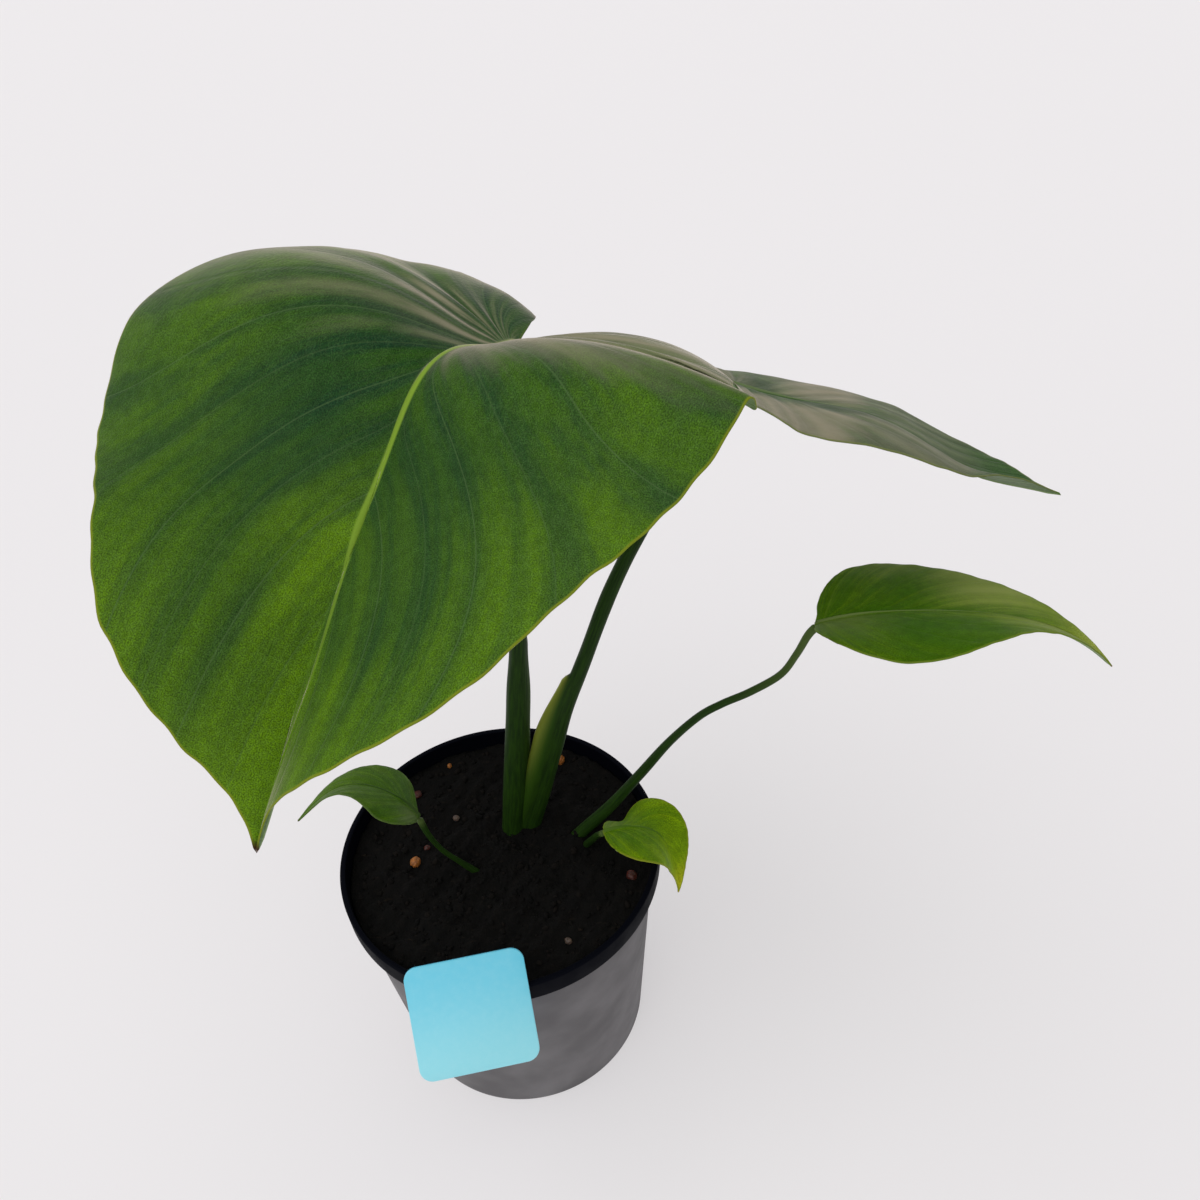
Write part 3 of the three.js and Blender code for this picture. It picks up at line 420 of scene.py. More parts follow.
class Blade:
    """A leaf blade's middle surface: frames along the midrib, and halves that curl away from it."""

    def __init__(self, leaf):
        self.leaf = leaf
        s = np.arange(FRAME_START, FRAME_END + FRAME_STEP / 2, FRAME_STEP)
        pitch, heading, roll = (np.radians(smooth(leaf[k], s)) for k in ("pitch", "heading", "roll"))
        run = np.cos(pitch)
        forward = np.stack([run * np.sin(heading), run * np.cos(heading), np.sin(pitch)], 1)
        level = np.stack([np.cos(heading), -np.sin(heading), 0 * s], 1)
        upright = np.cross(level, forward)
        c, d = np.cos(roll)[:, None], np.sin(roll)[:, None]
        self.across = level * c + upright * d
        self.normal = upright * c - level * d
        steps = 0.5 * FRAME_STEP * leaf["length"] * (forward[1:] + forward[:-1])
        place = np.vstack([np.zeros(3), np.cumsum(steps, 0)])
        zero = round(-FRAME_START / FRAME_STEP)
        self.place = place + leaf["at"] - place[zero]
        u = np.linspace(0, 1, OUTLINE_STEPS + 1)
        walk = strides(along(leaf["outline"], u))
        self.walked = np.append(0, np.cumsum(walk + CLOSE_SHARE / OUTLINE_STEPS))
        self.shares = u

    def frame(self, s):
        """Place, way across and normal at shares s of the midrib."""
        spot = np.clip((s - FRAME_START) / FRAME_STEP, 0, len(self.place) - 1)
        k = np.minimum(spot.astype(int), len(self.place) - 2)
        f = (spot - k)[..., None]
        return [a[k] * (1 - f) + a[k + 1] * f for a in (self.place, self.across, self.normal)]

    def point(self, s, w):
        """Points of the bent blade for flat places: s along, w across (over 0 on the right hand)."""
        leaf = self.leaf
        place, across, normal = self.frame(s)
        right = w >= 0
        tilt = self.half_angle("tilt", right, s)
        bend = self.half_angle("bend", right, s) / (BEND_SPAN * leaf["length"])
        bend = np.where(np.abs(bend) < 1e-6, 1e-6, bend)
        end = tilt - bend * np.abs(w) * leaf["length"]
        out = (np.sin(tilt) - np.sin(end)) / bend * np.where(right, 1, -1)
        rise = (np.cos(end) - np.cos(tilt)) / bend
        return place + across * out[..., None] + normal * rise[..., None]

    def half_angle(self, kind, right, s):
        places = self.leaf["places"]
        angles = [smooth(zip(places, self.leaf[f"{kind}_{hand}"]), s) for hand in ("right", "left")]
        return np.radians(np.where(right, *angles))

    def vein_place(self, side, t, f):
        """Flat places at shares f along the side veins that meet the outline at shares t of the walk."""
        u = np.interp(t * self.walked[-1], self.walked, self.shares)
        f = f * (1 + SCALLOPS * f ** 4 * (np.sin(178 * t) + 0.6 * np.sin(113 * t + side)))
        past = np.maximum((u - VEIN_LOBE) / (1 - VEIN_LOBE), 0)
        start = VEIN_CLOSE * u + (1 - VEIN_CLOSE) * past ** VEIN_SPREAD
        end = along(self.leaf["outline"], u)
        s, edge = end[..., 0], side * self.leaf["width"] * end[..., 1]
        g = 1 - f
        s = g * g * start + 2 * f * g * (start + VEIN_LEAN * (s - start)) + f * f * s
        w = 2 * f * g * VEIN_REACH * edge + f * f * edge + g * g * self.wander(s)
        reach, spread = self.leaf.get("lobe_left", (1, 1))
        w = np.where(side < 0, w * (1 - (1 - spread) * step(-s, *LOBE_SHRINK)), w)
        return np.where((side < 0) & (s < 0), s * reach, s), w

    def wander(self, s):
        return smooth(self.leaf.get("wander", [(0, 0), (1, 0)]), s)

    def phase(self, t, f):
        """Count of veins passed on the walk. They run along the midrib before they part from it."""
        lead = VEIN_LEAD * np.maximum(0.85 - t, 0) * step(t, 0.25, 0.45) * np.exp(-f / LEAD_FADE)
        return 2 * self.leaf["veins"] * (t + lead + smooth(VEIN_BOWS, t) * f ** 2)

    def relief(self, side, t, f):
        """Height of the pleats between the sunken veins, of the waves and of the small ripples."""
        leaf = self.leaf
        fade = np.sin(np.pi * np.minimum(t, 0.98)) ** 0.5
        rise = np.sin(np.pi * np.sqrt(f)) * step(f, 0.01, 0.1)
        turn = np.pi * self.phase(t, f)
        share = (PLEAT_SHARE + LOBE_PLEATS * step(-t, -0.6, -0.35)) * step(t, 0.1, 0.42)
        pleats = -(share * np.cos(turn) + FINE_PLEATS * np.cos(2 * turn)) * rise
        waves = side * f ** 3 * np.sin(2 * np.pi * WAVES * (t - WAVE_START))
        ripple = f ** 8 * (np.sin(61 * t + 2 * side) + 0.7 * np.sin(97 * t + 1.1 * side + 0.8))
        puckers = np.sin(2 * turn + 2.3 * side + 5 * f) * np.sin(9 * f + 3 * side * t) * f * (1 - f) * 4
        ripple = RIPPLE * leaf["length"] / FULL_LENGTH * ripple
        return fade * (leaf["pleat"] * (pleats + PUCKERS * puckers) + leaf["wave"] * waves + ripple)


def column_shares():
    """Shares from the midrib to the margin, closer together at both ends."""
    near = np.array([0, 0.006, 0.012, 0.019, 0.027, 0.037, 0.05, 0.067, 0.09])
    far = np.array([0.965, 0.98, 0.992, 1])
    return np.concatenate([near, np.linspace(0.115, 0.945, 30), far])


def slant(a, b):
    return np.abs(a[..., 0] * b[..., 1] - a[..., 1] * b[..., 0])


def blade_grid(leaf):
    """Rows of points on the blade, their normals and the marks that its material reads."""
    blade = Blade(leaf)
    length = leaf["length"]
    half = column_shares()
    f = np.concatenate([half[:0:-1], half])[None, :]
    side = np.concatenate([-np.ones(len(half) - 1), np.ones(len(half))])[None, :]
    t = np.linspace(0, 1, ROWS_PER_VEIN * leaf["veins"] + 1)[:, None]
    side, t, f = np.broadcast_arrays(side, t, f)
    s, w = blade.vein_place(side, t, f)
    normal = unit(blade.frame(s)[2])
    middle = blade.point(s, w) + normal * blade.relief(side, t, f)[..., None]

    local = unit(np.cross(*np.gradient(middle, axis=(1, 0))))
    edge = np.abs(w[:, -1:]) * length
    share = (step(edge, 0, TIP_BLEND) * (np.sum(local * normal, -1) > 0.2))[..., None]
    face = unit(normal * (1 - share) + local * share)

    flat = np.stack([s, w], -1) * length
    phase = blade.phase(t, f)
    veinward, rowward = np.gradient(flat, axis=(1, 0))
    turn_out, turn_on = np.gradient(phase[..., None], axis=(1, 0))
    climb = turn_out * rowward - turn_on * veinward
    vein_gap = slant(veinward, rowward) / np.maximum(np.linalg.norm(climb, axis=-1), 1e-9)
    margin_way = np.linalg.norm(flat - np.where(w[..., None] < 0, flat[:, :1], flat[:, -1:]), axis=-1)
    outline_way = unit(np.gradient(flat[:, -1], axis=0))[:, None]
    vein_way = unit(flat[:, -1:] - flat[:, -2:-1])
    near_edge = margin_way * np.maximum(slant(outline_way, vein_way), 0.2)
    rib = np.abs(w - blade.wander(s)) * length
    marks = dict(
        spot=np.dstack([flat * MM, 0 * s]),
        veins=np.dstack([phase, vein_gap, 0 * s]),
        edges=np.dstack([near_edge, rib, s]),
    )
    return middle, face, s, rib, marks


def blade_piece(name, leaf, rib_width):
    middle, face, s, rib, marks = blade_grid(leaf)
    width = rib_width * (0.3 + 0.7 * (1 - np.clip(s, 0, 1)) ** 1.2)
    shown = step(s, -0.03, 0)
    raised = shown * np.exp(-(rib / width) ** 2)
    keel = shown * np.exp(-(rib / (KEEL_WIDTH * width)) ** 2) * width * KEEL_DEPTH
    half = BLADE_THICK / 2 * (1 - MARGIN_THIN * step(-marks["edges"][..., 0], -2, 0))
    high = RIB_HEIGHT[0] + RIB_HEIGHT[1] * step(-s, -0.3, -0.05)
    top = middle + face * (half + high * raised)[..., None]
    under = middle - face * (half + keel)[..., None]
    outward = unit(middle[:, [0, -1]] - middle[:, [1, -2]])
    rims = middle[:, [0, -1]] + outward * MARGIN_ROUND

    rings = rings_round(top, rims, under)
    wide = middle.shape[1]
    verts, faces = tube(rings, np.stack([middle[0, wide // 2], middle[-1, 0]]))
    count, columns = rings.shape[:2]
    k = np.arange(columns)
    is_under = (k > wide) & (k < columns - 1) & ((k + 1) % columns < columns - 1)
    piece = mesh_piece(name, verts, faces)
    piece.data.polygons.foreach_set("material_index", np.tile(is_under, count + 1).astype(np.int32))
    for key, values in marks.items():
        ring = rings_round(values, values[:, [0, -1]], values)
        add_mark(piece, key, np.concatenate([ring.reshape(-1, 3), values[0, :1], values[-1, :1]]))
    return piece


def rings_round(top, rims, under):
    """The inner rows of a blade, each closed to a ring."""
    return np.concatenate([top, rims[:, 1:], under[:, ::-1], rims[:, :1]], 1)[1:-1]


# Meshes

def mesh_piece(name, verts, faces):
    mesh = bpy.data.meshes.new(name)
    mesh.from_pydata((np.asarray(verts, float) * MM).tolist(), [], faces)
    mesh.validate()
    mesh.update()
    mesh.shade_smooth()
    return linked(name, mesh)


def linked(name, data):
    thing = bpy.data.objects.new(name, data)
    bpy.context.scene.collection.objects.link(thing)
    return thing


def add_mark(piece, name, values):
    """Stores a vector, or a number, for each vertex under a name that materials read."""
    values = np.asarray(values, np.float32)
    kind, field = ("FLOAT", "value") if values.ndim == 1 else ("FLOAT_VECTOR", "vector")
    mark = piece.data.attributes.new(name, kind, "POINT")
    mark.data.foreach_set(field, values.ravel())


def place_piece(piece, node, slot, *materials):
    for material in materials:
        piece.data.materials.append(material)
    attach(piece, "root")
    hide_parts(node)


def tube(rings, ends=None):
    """Vertices and faces of a closed tube through rings of points, with a point at each end."""
    count, sides = rings.shape[:2]
    if ends is None:
        ends = np.concatenate([rings[:1].mean(1), rings[-1:].mean(1)])
    verts = np.concatenate([rings.reshape(-1, 3), ends])
    k = np.arange(sides)
    n = (k + 1) % sides
    faces = []
    foot, last = count * sides, (count - 1) * sides
    for a in range(0, last, sides):
        b = a + sides
        faces.extend(np.stack([a + k, a + n, b + n, b + k], 1).tolist())
    faces.extend(np.stack([0 * k + foot, n, k], 1).tolist())
    faces.extend(np.stack([0 * k + foot + 1, last + k, last + n], 1).tolist())
    return verts, faces


# Stalks

def sheath_ridge(sheath, z, angle):
    if not sheath:
        return 0 * z * angle
    away = np.maximum(np.cos(angle - math.radians(sheath["towards"])), 0)
    left = np.clip((sheath["end"] - z) / (sheath["end"] - sheath["start"]), 0, 1)
    rise = SHEATH_SHOULDER * step(left, 0, 0.025) + (1 - SHEATH_SHOULDER) * step(left, 0, SHEATH_LIP)
    profile = rise * (1 - SHEATH_TAPER * left)
    return sheath["height"] * profile * away ** sheath["sharp"]


def stalk_piece(name, leaf):
    """A tube through the stalk's knots, (x, y, z, radius), that goes on down into the mix."""
    knots = np.array(leaf["stalk"], float)
    lean = (knots[1] - knots[0]) / (knots[1] - knots[0])[2]
    buried = knots[0] - lean * STALK_DEPTH
    buried[3] = knots[0][3] * 0.95
    knots = np.vstack([buried, knots])
    length = strides(knots[:, :3]).sum()
    t = np.linspace(0, 1, int(length / STALK_STEP))
    path = along(knots, t)
    centre, radius = path[:, :3], path[:, 3]
    forward = unit(np.gradient(centre, axis=0))
    right = unit([1, 0, 0] - forward * forward[:, :1])
    back = np.cross(forward, right)
    angle = np.linspace(0, 2 * np.pi, STALK_SIDES, endpoint=False)[None]
    ridge = sheath_ridge(leaf.get("sheath"), centre[:, 2:3], angle)
    way = np.append(0, np.cumsum(strides(centre)))
    end = way[-1] - way
    round_end = np.sqrt(np.clip(1 - (1 - np.clip(end / radius, 0, 1)) ** 2, 0.01, 1))
    knobs = 1 + STALK_KNOBS * np.sin(0.21 * way)[:, None] * np.cos(2 * angle + 0.03 * way[:, None])
    reach = (radius * round_end)[:, None] * knobs + ridge
    out = np.cos(angle)[..., None] * right[:, None] + np.sin(angle)[..., None] * back[:, None]
    piece = mesh_piece(name, *tube(centre[:, None] + reach[..., None] * out))
    stem = np.dstack(np.broadcast_arrays(angle, way[:, None], end[:, None]))
    add_mark(piece, "stem", np.concatenate([stem.reshape(-1, 3), stem[0, :1], stem[-1, :1]]))
    crest = ridge / max(leaf["sheath"]["height"], 1) if leaf.get("sheath") else ridge
    add_mark(piece, "sheath", np.concatenate([crest.ravel(), [0, 0]]))
    return piece


# Pot

def wall_radius(z):
    return BASE_RADIUS + (WALL_TOP_RADIUS - BASE_RADIUS) * z / SHOULDER


def pot_profile():
    """Points of the pot's section, whose corners are (radius, height, rounding)."""
    rim_inner = RIM_RADIUS - RIM_THICK
    foot_inner = BASE_RADIUS - FOOT_WIDTH
    corners = [
        (CENTRE_PAD_RADIUS, 0, 0.2), (CENTRE_PAD_RADIUS + BASE_RECESS, BASE_RECESS, 0.2),
        (foot_inner - BASE_RECESS, BASE_RECESS, 0.2), (foot_inner, 0, 0.2),
        (BASE_RADIUS - 0.1, 0, 1.1),
        (WALL_TOP_RADIUS, SHOULDER, 0.35), (RIM_RADIUS - RIM_DRAFT, SHOULDER, 0.7),
        (RIM_RADIUS, POT_HEIGHT, RIM_ROUND), (rim_inner, POT_HEIGHT, 0.6),
        (rim_inner - RIM_DRAFT, SHOULDER + LEDGE, 0.4), (WALL_TOP_RADIUS - WALL, SHOULDER - LEDGE, 0.4),
        (wall_radius(FLOOR) - WALL, FLOOR, FLOOR_ROUND),
    ]
    return [(0, 0)] + rounded(corners, (0, 0), (0, FLOOR)) + [(0, FLOOR)]


def rounded(corners, start, end):
    """Points of a chain whose corners, as (x, y, radius), are rounded off."""
    out = []
    chain = [start] + [c[:2] for c in corners] + [end]
    for k, (x, y, radius) in enumerate(corners):
        here = Vector((x, y))
        back = Vector(chain[k]) - here
        ahead = Vector(chain[k + 2]) - here
        cut = min(radius, 0.45 * back.length, 0.45 * ahead.length)
        a, b = here + back.normalized() * cut, here + ahead.normalized() * cut
        for i in range(ROUND_STEPS + 1):
            u = i / ROUND_STEPS
            out.append(tuple(a * (1 - u) ** 2 + here * 2 * u * (1 - u) + b * u * u))
    return out


def circle(radius, height, sides):
    angle = np.linspace(0, 2 * np.pi, sides, endpoint=False)
    return np.stack(np.broadcast_arrays(radius * np.cos(angle), radius * np.sin(angle), height), -1)


def lathe(profile, sides):
    """Surface of revolution from (radius, height) points that start and end on the axis."""
    body = np.array(profile[1:-1], float)
    ends = np.array([(0, 0, profile[0][1]), (0, 0, profile[-1][1])])
    return tube(circle(body[:, :1], body[:, 1:], sides), ends)


def pot_piece():
    piece = mesh_piece("nursery_pot", *lathe(pot_profile(), POT_SIDES))
    low, high = DRAIN_CUT
    hole, faces = lathe([(0, low), (DRAIN_RADIUS, low), (DRAIN_RADIUS, high), (0, high)], DRAIN_SIDES)
    cutters = []
    for k, place in enumerate(circle(DRAIN_CIRCLE, 0, 2 * DRAIN_HOLES)[1::2]):
        cutters.append(mesh_piece(f"drain_{k}", hole + place, faces))
        piece.modifiers.new("drain", "BOOLEAN").object = cutters[k]
    graph = bpy.context.evaluated_depsgraph_get()
    done = bpy.data.meshes.new_from_object(piece.evaluated_get(graph))
    piece.modifiers.clear()
    piece.data = done
    for cutter in cutters:
        bpy.data.objects.remove(cutter)
    done.set_sharp_from_angle(angle=math.radians(POT_CREASE))
    return piece


# Potting mix

def soil_height(x, y):
    """Height of the mix's surface before its crumbs, which sinks a little towards the pot's wall."""
    edge = step(np.hypot(x, y), *SOIL_EDGE)
    bumps = np.sin(0.31 * x + 1.3) * np.cos(0.27 * y - 0.4) + 0.6 * np.sin(0.52 * y + 0.23 * x)
    bumps = bumps + 0.4 * np.sin(0.83 * x - 0.61 * y + 2)
    return SOIL_LEVEL + SOIL_BUMP * bumps * (1 - 0.6 * edge) - 0.3 * edge


def crumb_noise(x, y):
    total = 0 * x
    for k in range(RIPPLES):
        turn = GOLDEN_TURN * k + 0.4
        pitch = 0.9 + 0.31 * k
        wave = np.sin(pitch * (x * math.cos(turn) + y * math.sin(turn)) + 1.7 * k)
        total = total + wave / (1 + 0.25 * k)
    return total


def soil_body():
    """The mix without its loose crumbs: a rough top over the pot's inside."""
    radii = np.linspace(0.6, SOIL_RADIUS, SOIL_RINGS)[:, None]
    x, y, _ = np.moveaxis(circle(radii, 0, SOIL_SIDES), -1, 0)
    z = soil_height(x, y) - 0.35 + np.abs(crumb_noise(x, y)) * SOIL_ROUGH
    rings = [np.dstack([x, y, z])]
    low = FLOOR + SOIL_LIFT
    for height, inset in ((SHOULDER - LEDGE + 0.2, 0), (low + FLOOR_ROUND, 0), (low, FLOOR_ROUND)):
        radius = wall_radius(height) - WALL - SOIL_GAP - inset
        rings.append(circle(radius, height, SOIL_SIDES)[None])
    return tube(np.concatenate(rings)[::-1])


def soil_piece():
    verts, faces = soil_body()
    tones = [np.full(len(verts), 0.3)]
    parts, offset = [verts], len(verts)
    rng = np.random.default_rng(CRUMB_SEED)
    ball, ball_faces = ball_shape(1)
    least, spread = CRUMB_SIZES
    for _ in range(CRUMBS):
        radius = SOIL_RADIUS * 0.965 * math.sqrt(rng.random())
        turn = rng.random() * 2 * math.pi
        x, y = radius * math.cos(turn), radius * math.sin(turn)
        size = least + spread * rng.random() ** 3
        shape = ball * (1 + 0.21 * rng.standard_normal((len(ball), 1)))
        shape = shape * [1, 0.5 + 0.5 * rng.random(), 0.35 + 0.5 * rng.random()] * size
        spin = Matrix.Rotation(rng.random() * 2 * math.pi, 3, "Z")
        spin = spin @ Matrix.Rotation(0.5 * rng.standard_normal(), 3, "X")
        parts.append(shape @ np.array(spin).T + [x, y, soil_height(x, y) + 0.1 * size])
        faces.extend([i + offset for i in face] for face in ball_faces)
        offset += len(ball)
        tones.append(np.full(len(ball), rng.random()))
    piece = mesh_piece("potting_mix", np.concatenate(parts), faces)
    add_mark(piece, "tone", np.concatenate(tones))
    return piece


def ball_shape(subdivisions):
    form = bmesh.new()
    bmesh.ops.create_icosphere(form, subdivisions=subdivisions, radius=1)
    return unpacked(form)


def unpacked(form):
    form.verts.index_update()
    verts = np.array([v.co for v in form.verts])
    faces = [[v.index for v in face.verts] for face in form.faces]
    form.free()
    return verts, faces


# Beads

def bead_piece(number, bead):
    x, y, radius, flat, _ = bead
    ball, faces = ball_shape(5)
    lumps = sum(np.sin(ball @ way * pitch + number) for way, pitch in (
        ((0.6, 0.5, 0.62), 4), ((-0.7, 0.3, 0.64), 6.5), ((0.2, -0.8, 0.56), 9)))
    shape = ball * (radius * (1 + 0.03 * lumps))[:, None] * [1, 0.9, flat]
    shape = shape @ np.array(Matrix.Rotation(x + y, 3, "Z")).T
    centre = [x, y, soil_height(x, y) + radius * flat * (1 - 2 * BEAD_SINK)]
    return mesh_piece(f"feed_bead_{number}", shape + centre, faces)


# Card

def card_piece():
    w, h, r = CARD_WIDTH / 2, CARD_HEIGHT / 2, CARD_CORNER
    outline = []
    for x, y, start in ((w - r, r - h, -90), (w - r, h - r, 0), (r - w, h - r, 90), (r - w, r - h, 180)):
        for k in range(ARC_STEPS + 1):
            a = math.radians(start + 90 * k / ARC_STEPS)
            outline.append((x + r * math.cos(a), y + r * math.sin(a)))
    form = bmesh.new()
    face = form.faces.new([form.verts.new((x, y, 0)) for x, y in outline])
    bmesh.ops.extrude_face_region(form, geom=[face])
    for vert in list(form.verts)[len(outline):]:
        vert.co.z = -CARD_THICK
    bmesh.ops.recalc_face_normals(form, faces=form.faces)
    rims = [e for e in form.edges if abs(e.verts[0].co.z - e.verts[1].co.z) < 1e-6]
    bmesh.ops.bevel(form, geom=rims, offset=CARD_BEVEL, segments=3, profile=0.5, affect="EDGES")
    turn = Matrix.Rotation(math.radians(CARD_TURN), 4, "Z")
    turn = turn @ Matrix.Rotation(math.radians(CARD_SLOPE), 4, "X")
    form.transform(Matrix.Translation(Vector(CARD_FACE)) @ turn)
    add_clip(form)
    verts, faces = unpacked(form)
    piece = mesh_piece("rim_card", verts, faces)
    piece.data.set_sharp_from_angle(angle=math.radians(CARD_CREASE))
    local = (verts - CARD_FACE) @ np.array(turn.to_3x3())
    add_mark(piece, "card", local * MM)
    return piece


def add_clip(form):
    """Adds the inverted channel over the rim and the rib behind the card."""
    inside = RIM_RADIUS - RIM_THICK - CLIP_GAP
    outside = RIM_RADIUS + CLIP_GAP
    top = POT_HEIGHT + CLIP_GAP
    outer_end, inner_end = POT_HEIGHT - CLIP_OUTER_DROP, POT_HEIGHT - CLIP_INNER_DROP
    lip = CLIP_THICK / 3
    profile = [
        (outside, top), (outside, outer_end), (outside + CLIP_THICK, outer_end),
        (outside + CLIP_THICK, top + lip), (outside + lip, top + CLIP_THICK),
        (inside - CLIP_THICK, top + CLIP_THICK), (inside - CLIP_THICK, inner_end),
        (inside, inner_end), (inside, top),
    ]
    spread = math.degrees(CLIP_WIDTH / 2 / RIM_RADIUS)
    angles = np.radians(np.linspace(CLIP_ANGLE - spread, CLIP_ANGLE + spread, ARC_STEPS + 1))
    add_prism(form, [[(r * math.sin(a), -r * math.cos(a), z) for r, z in profile] for a in angles])
    leg, low = -(outside + CLIP_THICK / 2), outer_end + 1
    rib = [(leg, POT_HEIGHT), (leg, low), (leg - GUSSET_REACH, low)]
    turn = Matrix.Rotation(math.radians(CLIP_ANGLE), 3, "Z")
    add_prism(form, [[turn @ Vector((x, y, z)) for y, z in rib] for x in (-GUSSET / 2, GUSSET / 2)])
    bmesh.ops.recalc_face_normals(form, faces=form.faces)


def add_prism(form, rings):
    """Adds a solid whose sections are rings of points, flat at both ends."""
    rings = [[form.verts.new(point) for point in ring] for ring in rings]
    for a, b in zip(rings, rings[1:]):
        for k in range(len(a)):
            n = (k + 1) % len(a)
            form.faces.new((a[k], a[n], b[n], b[k]))
    form.faces.new(rings[0][::-1])
    form.faces.new(rings[-1])


# Materials

class Nodes:
    def __init__(self, tree):
        self.tree = tree

    def node(self, kind, *values, **settings):
        node = self.tree.nodes.new("ShaderNode" + kind)
        for key, value in settings.items():
            setattr(node, key, value)
        for k, value in enumerate(values):
            self.feed(node.inputs[k], value)
        return node

    def feed(self, socket, value):
        if isinstance(value, bpy.types.NodeSocket):
            self.tree.links.new(value, socket)
        elif value is not None:
            wide = socket.type == "RGBA" and not isinstance(value, (int, float))
            socket.default_value = (*value, 1) if wide else value

    def math(self, operation, *values):
        return self.node("Math", *values, operation=operation).outputs[0]

    def plus(self, a, b):
        return self.math("ADD", a, b)

    def times(self, a, *others):
        for b in others:
            a = self.math("MULTIPLY", a, b)
        return a

    def scaled(self, value, factor, shift):
        return self.math("MULTIPLY_ADD", value, factor, shift)

    def step(self, value, low, high, start=0, end=1):
        """Smooth step from start at low to end at high."""
        smooth = {"interpolation_type": "SMOOTHSTEP"}
        return self.node("MapRange", value, low, high, start, end, **smooth).outputs[0]

    def parts(self, vector):
        return self.node("SeparateXYZ", vector).outputs


class Shader(Nodes):
    """A Principled material with the patterns that feed it."""

    def __init__(self, name, roughness=0.5, **constants):
        self.material = bpy.data.materials.new(name)
        self.material.use_nodes = True
        super().__init__(self.material.node_tree)
        self.body = self.tree.nodes["Principled BSDF"]
        self.set("Roughness", roughness)
        for key, value in constants.items():
            self.set(key.replace("_", " "), value)

    def set(self, name, value):
        self.feed(self.body.inputs[name], value)

    def mark(self, name):
        """The vector that each point holds under a name, and its three numbers."""
        vector = self.node("Attribute", attribute_name=name).outputs["Vector"]
        return vector, *self.parts(vector)

    def number(self, name):
        return self.node("Attribute", attribute_name=name).outputs["Fac"]

    def place(self):
        return self.node("TexCoord").outputs["Object"]

    def mix(self, share, a, b, blend="MIX"):
        node = self.node("Mix", data_type="RGBA", blend_type=blend)
        for k, value in ((0, share), (6, a), (7, b)):
            self.feed(node.inputs[k], value)
        return node.outputs[2]

    def shaded(self, colour, shade):
        grey = self.node("CombineXYZ", shade, shade, shade).outputs[0]
        return self.mix(1, colour, grey, "MULTIPLY")

    def noise(self, vector, scale, detail=2, roughness=0.5, stretch=None):
        if stretch:
            vector = self.node("VectorMath", vector, stretch, operation="MULTIPLY").outputs[0]
        return self.node("TexNoise", vector, None, scale, detail, roughness).outputs["Fac"]

    def net(self, vector, scale, width):
        """0 on the lines of a fine net and 1 in its meshes."""
        node = self.node("TexVoronoi", vector, None, scale, feature="DISTANCE_TO_EDGE")
        return self.step(node.outputs["Distance"], NET_LINE, width)

    def bump(self, height, depth):
        """Adds a relief of the given depth in millimetres."""
        node = self.node("Bump")
        values = {"Strength": 1, "Distance": depth * MM, "Height": height}
        before = self.body.inputs["Normal"].links
        if before:
            values["Normal"] = before[0].from_socket
        for key, value in values.items():
            self.feed(node.inputs[key], value)
        self.set("Normal", node.outputs[0])


def leaf_marks(m):
    """The numbers that the points of a blade hold, with the way to the nearest vein, off as a share."""
    spot, _, side, _ = m.mark("spot")
    _, phase, vein_gap, _ = m.mark("veins")
    _, edge, rib, reach = m.mark("edges")
    off = m.math("ABSOLUTE", m.math("SUBTRACT", phase, m.math("ROUND", phase)))
    return spot, side, phase, off, m.times(off, vein_gap), edge, rib, reach


